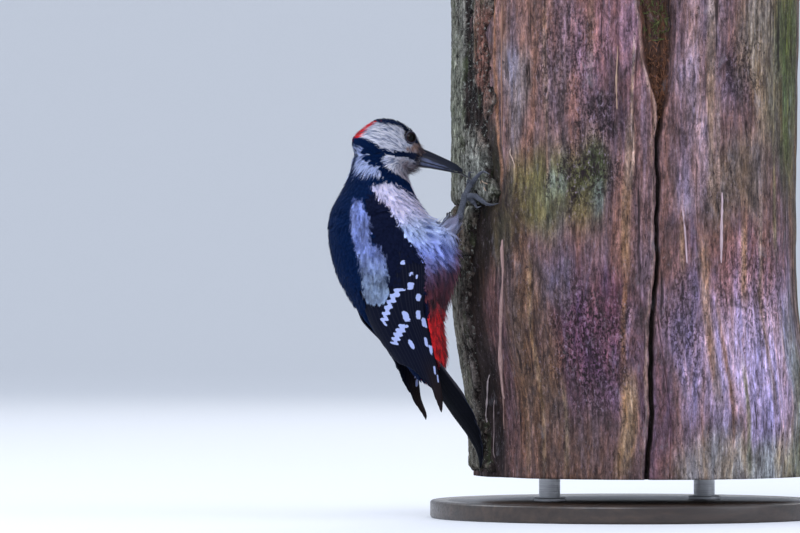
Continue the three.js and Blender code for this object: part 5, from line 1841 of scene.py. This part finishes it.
# heel and ankle, then for each toe its joints as aside, height and rise, then its claw in the same way
LEGS = {
    "right": (
        (HEELS[0], (-105.4, -13.4, 182.0)),
        [([(-13.6, 188.7, 2.6), (-18.1, 192, 2.3), (-20.4, 193.8, 2.1)],
          [(-21.6, 194.6, 2.1), (-26, 195.6, 2.5), (-28.8, 194, 0.7)]),
         ([(-11, 187, 2.6), (-10.4, 190, 2.3), (-10.3, 191.6, 2.1)],
          [(-10.4, 193, 2.1), (-11.4, 195.2, 2.5), (-13.6, 195.2, 0.7)]),
         ([(-17.3, 182, 2.6), (-22.3, 180, 2.3), (-26.6, 178, 2.1)],
          [(-28.1, 177.4, 2.1), (-33.2, 177, 2.5), (-36.4, 178, 0.7)]),
         ([(-13.6, 180.2, 2.6), (-15.6, 178.6, 2.2), (-16.7, 177.6, 2)],
          [(-17.7, 176.8, 2.1), (-19.6, 175.6, 2.5), (-21.1, 176.4, 0.7)])],
    ),
    "left": (
        (HEELS[1], (-109.0, 19.6, 159.4)),
        [([(23.5, 164.6, 4.4), (26, 168.2, 4.4), (27.6, 170, 2.9)],
          [(28.4, 171, 2.9), (31, 172.6, 2.6), (33.2, 171.6, 0.7)]),
         ([(20, 165.2, 4.4), (19.6, 168.4, 4.2), (19.8, 170, 2.9)],
          [(20.1, 171.2, 2.9), (21.2, 173, 2.6), (23.2, 172.8, 0.7)]),
         ([(24.6, 161.4, 4), (29.4, 160.8, 3.6), (33, 160.4, 2.9)],
          [(34.3, 160.3, 2.9), (37, 160, 2.6), (39.2, 160.8, 0.7)]),
         ([(20.8, 157.8, 4), (22, 155.8, 3.4), (22.8, 154.6, 2.9)],
          [(23.4, 153.8, 2.9), (25, 152.8, 2.4), (26.6, 153.6, 0.4)])],
    ),
}
TOE_RADII = (1.75, 1.6, 1.5, 1.25, 1.1)
LEG_RADII = (2.2, 1.85, 1.7, 1.75, 1.95)
CLAW_RADII = (1.0, 1.05, 0.8, 0.45, 0.08)
FOOT_VOXEL = 0.26 * MM
PLATE_LENGTH = 1.3  # of the scales, in millimetres
ANKLE_RADIUS, HEEL_RADIUS = 2.1, 2.3
PATH_STEPS = 80
FEET_HEIGHT = 170 * MM

scaled_skin, tree, shader = new_material("scaled_skin", Specular_IOR_Level=0.4, Sheen_Weight=0.05)
cells = {"Vector": object_places(tree), "Scale": 1500.0}
cells = add_node(tree, "TexVoronoi", cells, feature="DISTANCE_TO_EDGE").outputs["Distance"]
seams = ramp(tree, cells, [(0.02, 1.0), (0.1, 0.0)])
dust = cloud(tree, object_places(tree), 420.0, 5.0, 0.65)
greys = [(0.3, (0.045, 0.05, 0.068)), (0.55, (0.085, 0.095, 0.125)), (0.75, (0.15, 0.16, 0.19))]
tone = ramp(tree, dust, greys)
plates = attribute(tree, "plates")
tone = blend_colour(tree, times(tree, plates, 0.75), tone, (0.028, 0.03, 0.042))
tone = blend_colour(tree, times(tree, seams, 0.5), tone, (0.02, 0.021, 0.03))
coloured(tree, shader, tone, (dust, [(0.3, 0.48), (0.7, 0.66)]))
bump(tree, shader, seams, -0.0002, 0.8)

claw_horn = horn_surface("claw_horn", (0.018, 0.019, 0.028), (0.13, 0.14, 0.18), (0.012, 0.012, 0.018))

for name, ((heel, ankle), toes) in LEGS.items():
    lines = [[heel, (heel + ankle) / 2, ankle]]
    lines += [[ankle] + [on_trunk(*joint) for joint in joints] for joints, _ in toes]
    shapes = [tube(lines[0], LEG_RADII, 20, 30)] + [tube(line, TOE_RADII, 18, 36) for line in lines[1:]]
    for place, radius in ((ankle, ANKLE_RADIUS), (heel, HEEL_RADIUS)):
        shapes.append(bmesh.new())
        ball = bmesh.ops.create_icosphere(shapes[-1], subdivisions=3, radius=radius * MM)["verts"]
        bmesh.ops.translate(shapes[-1], verts=ball, vec=Vector(place) * MM)
    mesh = grown_together(name + "_foot", joined(shapes), FOOT_VOXEL, 4)
    mesh.name = name + "_foot"
    places, normals = corners_of(mesh), corners_of(mesh, "normal")
    samples = [smooth_path(line, PATH_STEPS) for line in lines]
    tree = KDTree(PATH_STEPS * len(lines))
    lengths = []
    for line in samples:
        lengths += list(np.concatenate([[0], np.cumsum(np.linalg.norm(np.diff(line, axis=0), axis=1))]))
    for i, spot in enumerate(np.concatenate(samples)):
        tree.insert(spot * MM, i)
    tree.balance()
    run = np.array([lengths[tree.find(place)[1]] for place in places])
    step = (run / PLATE_LENGTH) % 1.0
    outwards = unit(places * (1, 1, 0) - np.array((bend_at(FEET_HEIGHT), 0, 0)))
    upper_side = soft_step((normals * outwards).sum(axis=1), -0.1, 0.5)
    groove = np.exp(-(((step - 0.5) ** 2) ** 0.5 - 0.5) ** 2 / 0.012)
    rise = (0.1 * (1 - step) - 0.22 * groove) * upper_side
    pads = 0.16 * np.sin(run * 2.1) * (1 - upper_side)
    places = places + normals * ((rise + pads) * MM)[:, None]
    reshaped(mesh, places)
    mark(mesh, "plates", groove * upper_side)
    mesh.materials.clear()
    mesh.materials.append(scaled_skin)
    mesh.shade_smooth()
    foot = placed(name + "_foot", mesh)
    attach(foot, "root")
    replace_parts(foot, "tarsus_" + name, "foot_" + name)
    hooks = [[on_trunk(*point) for point in [joints[-1], *hook]] for joints, hook in toes]
    claws = joined([tube(line, CLAW_RADII, 16, 28, 0.7) for line in hooks])
    claws = finished(name + "_claws", claws, claw_horn)
    mark(claws.data, "flank", np.full(len(claws.data.vertices), 0.4))
    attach(claws, "root")
    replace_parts(claws, *(f"claw_{name}_{i}" for i in (1, 2, 3, 4)))
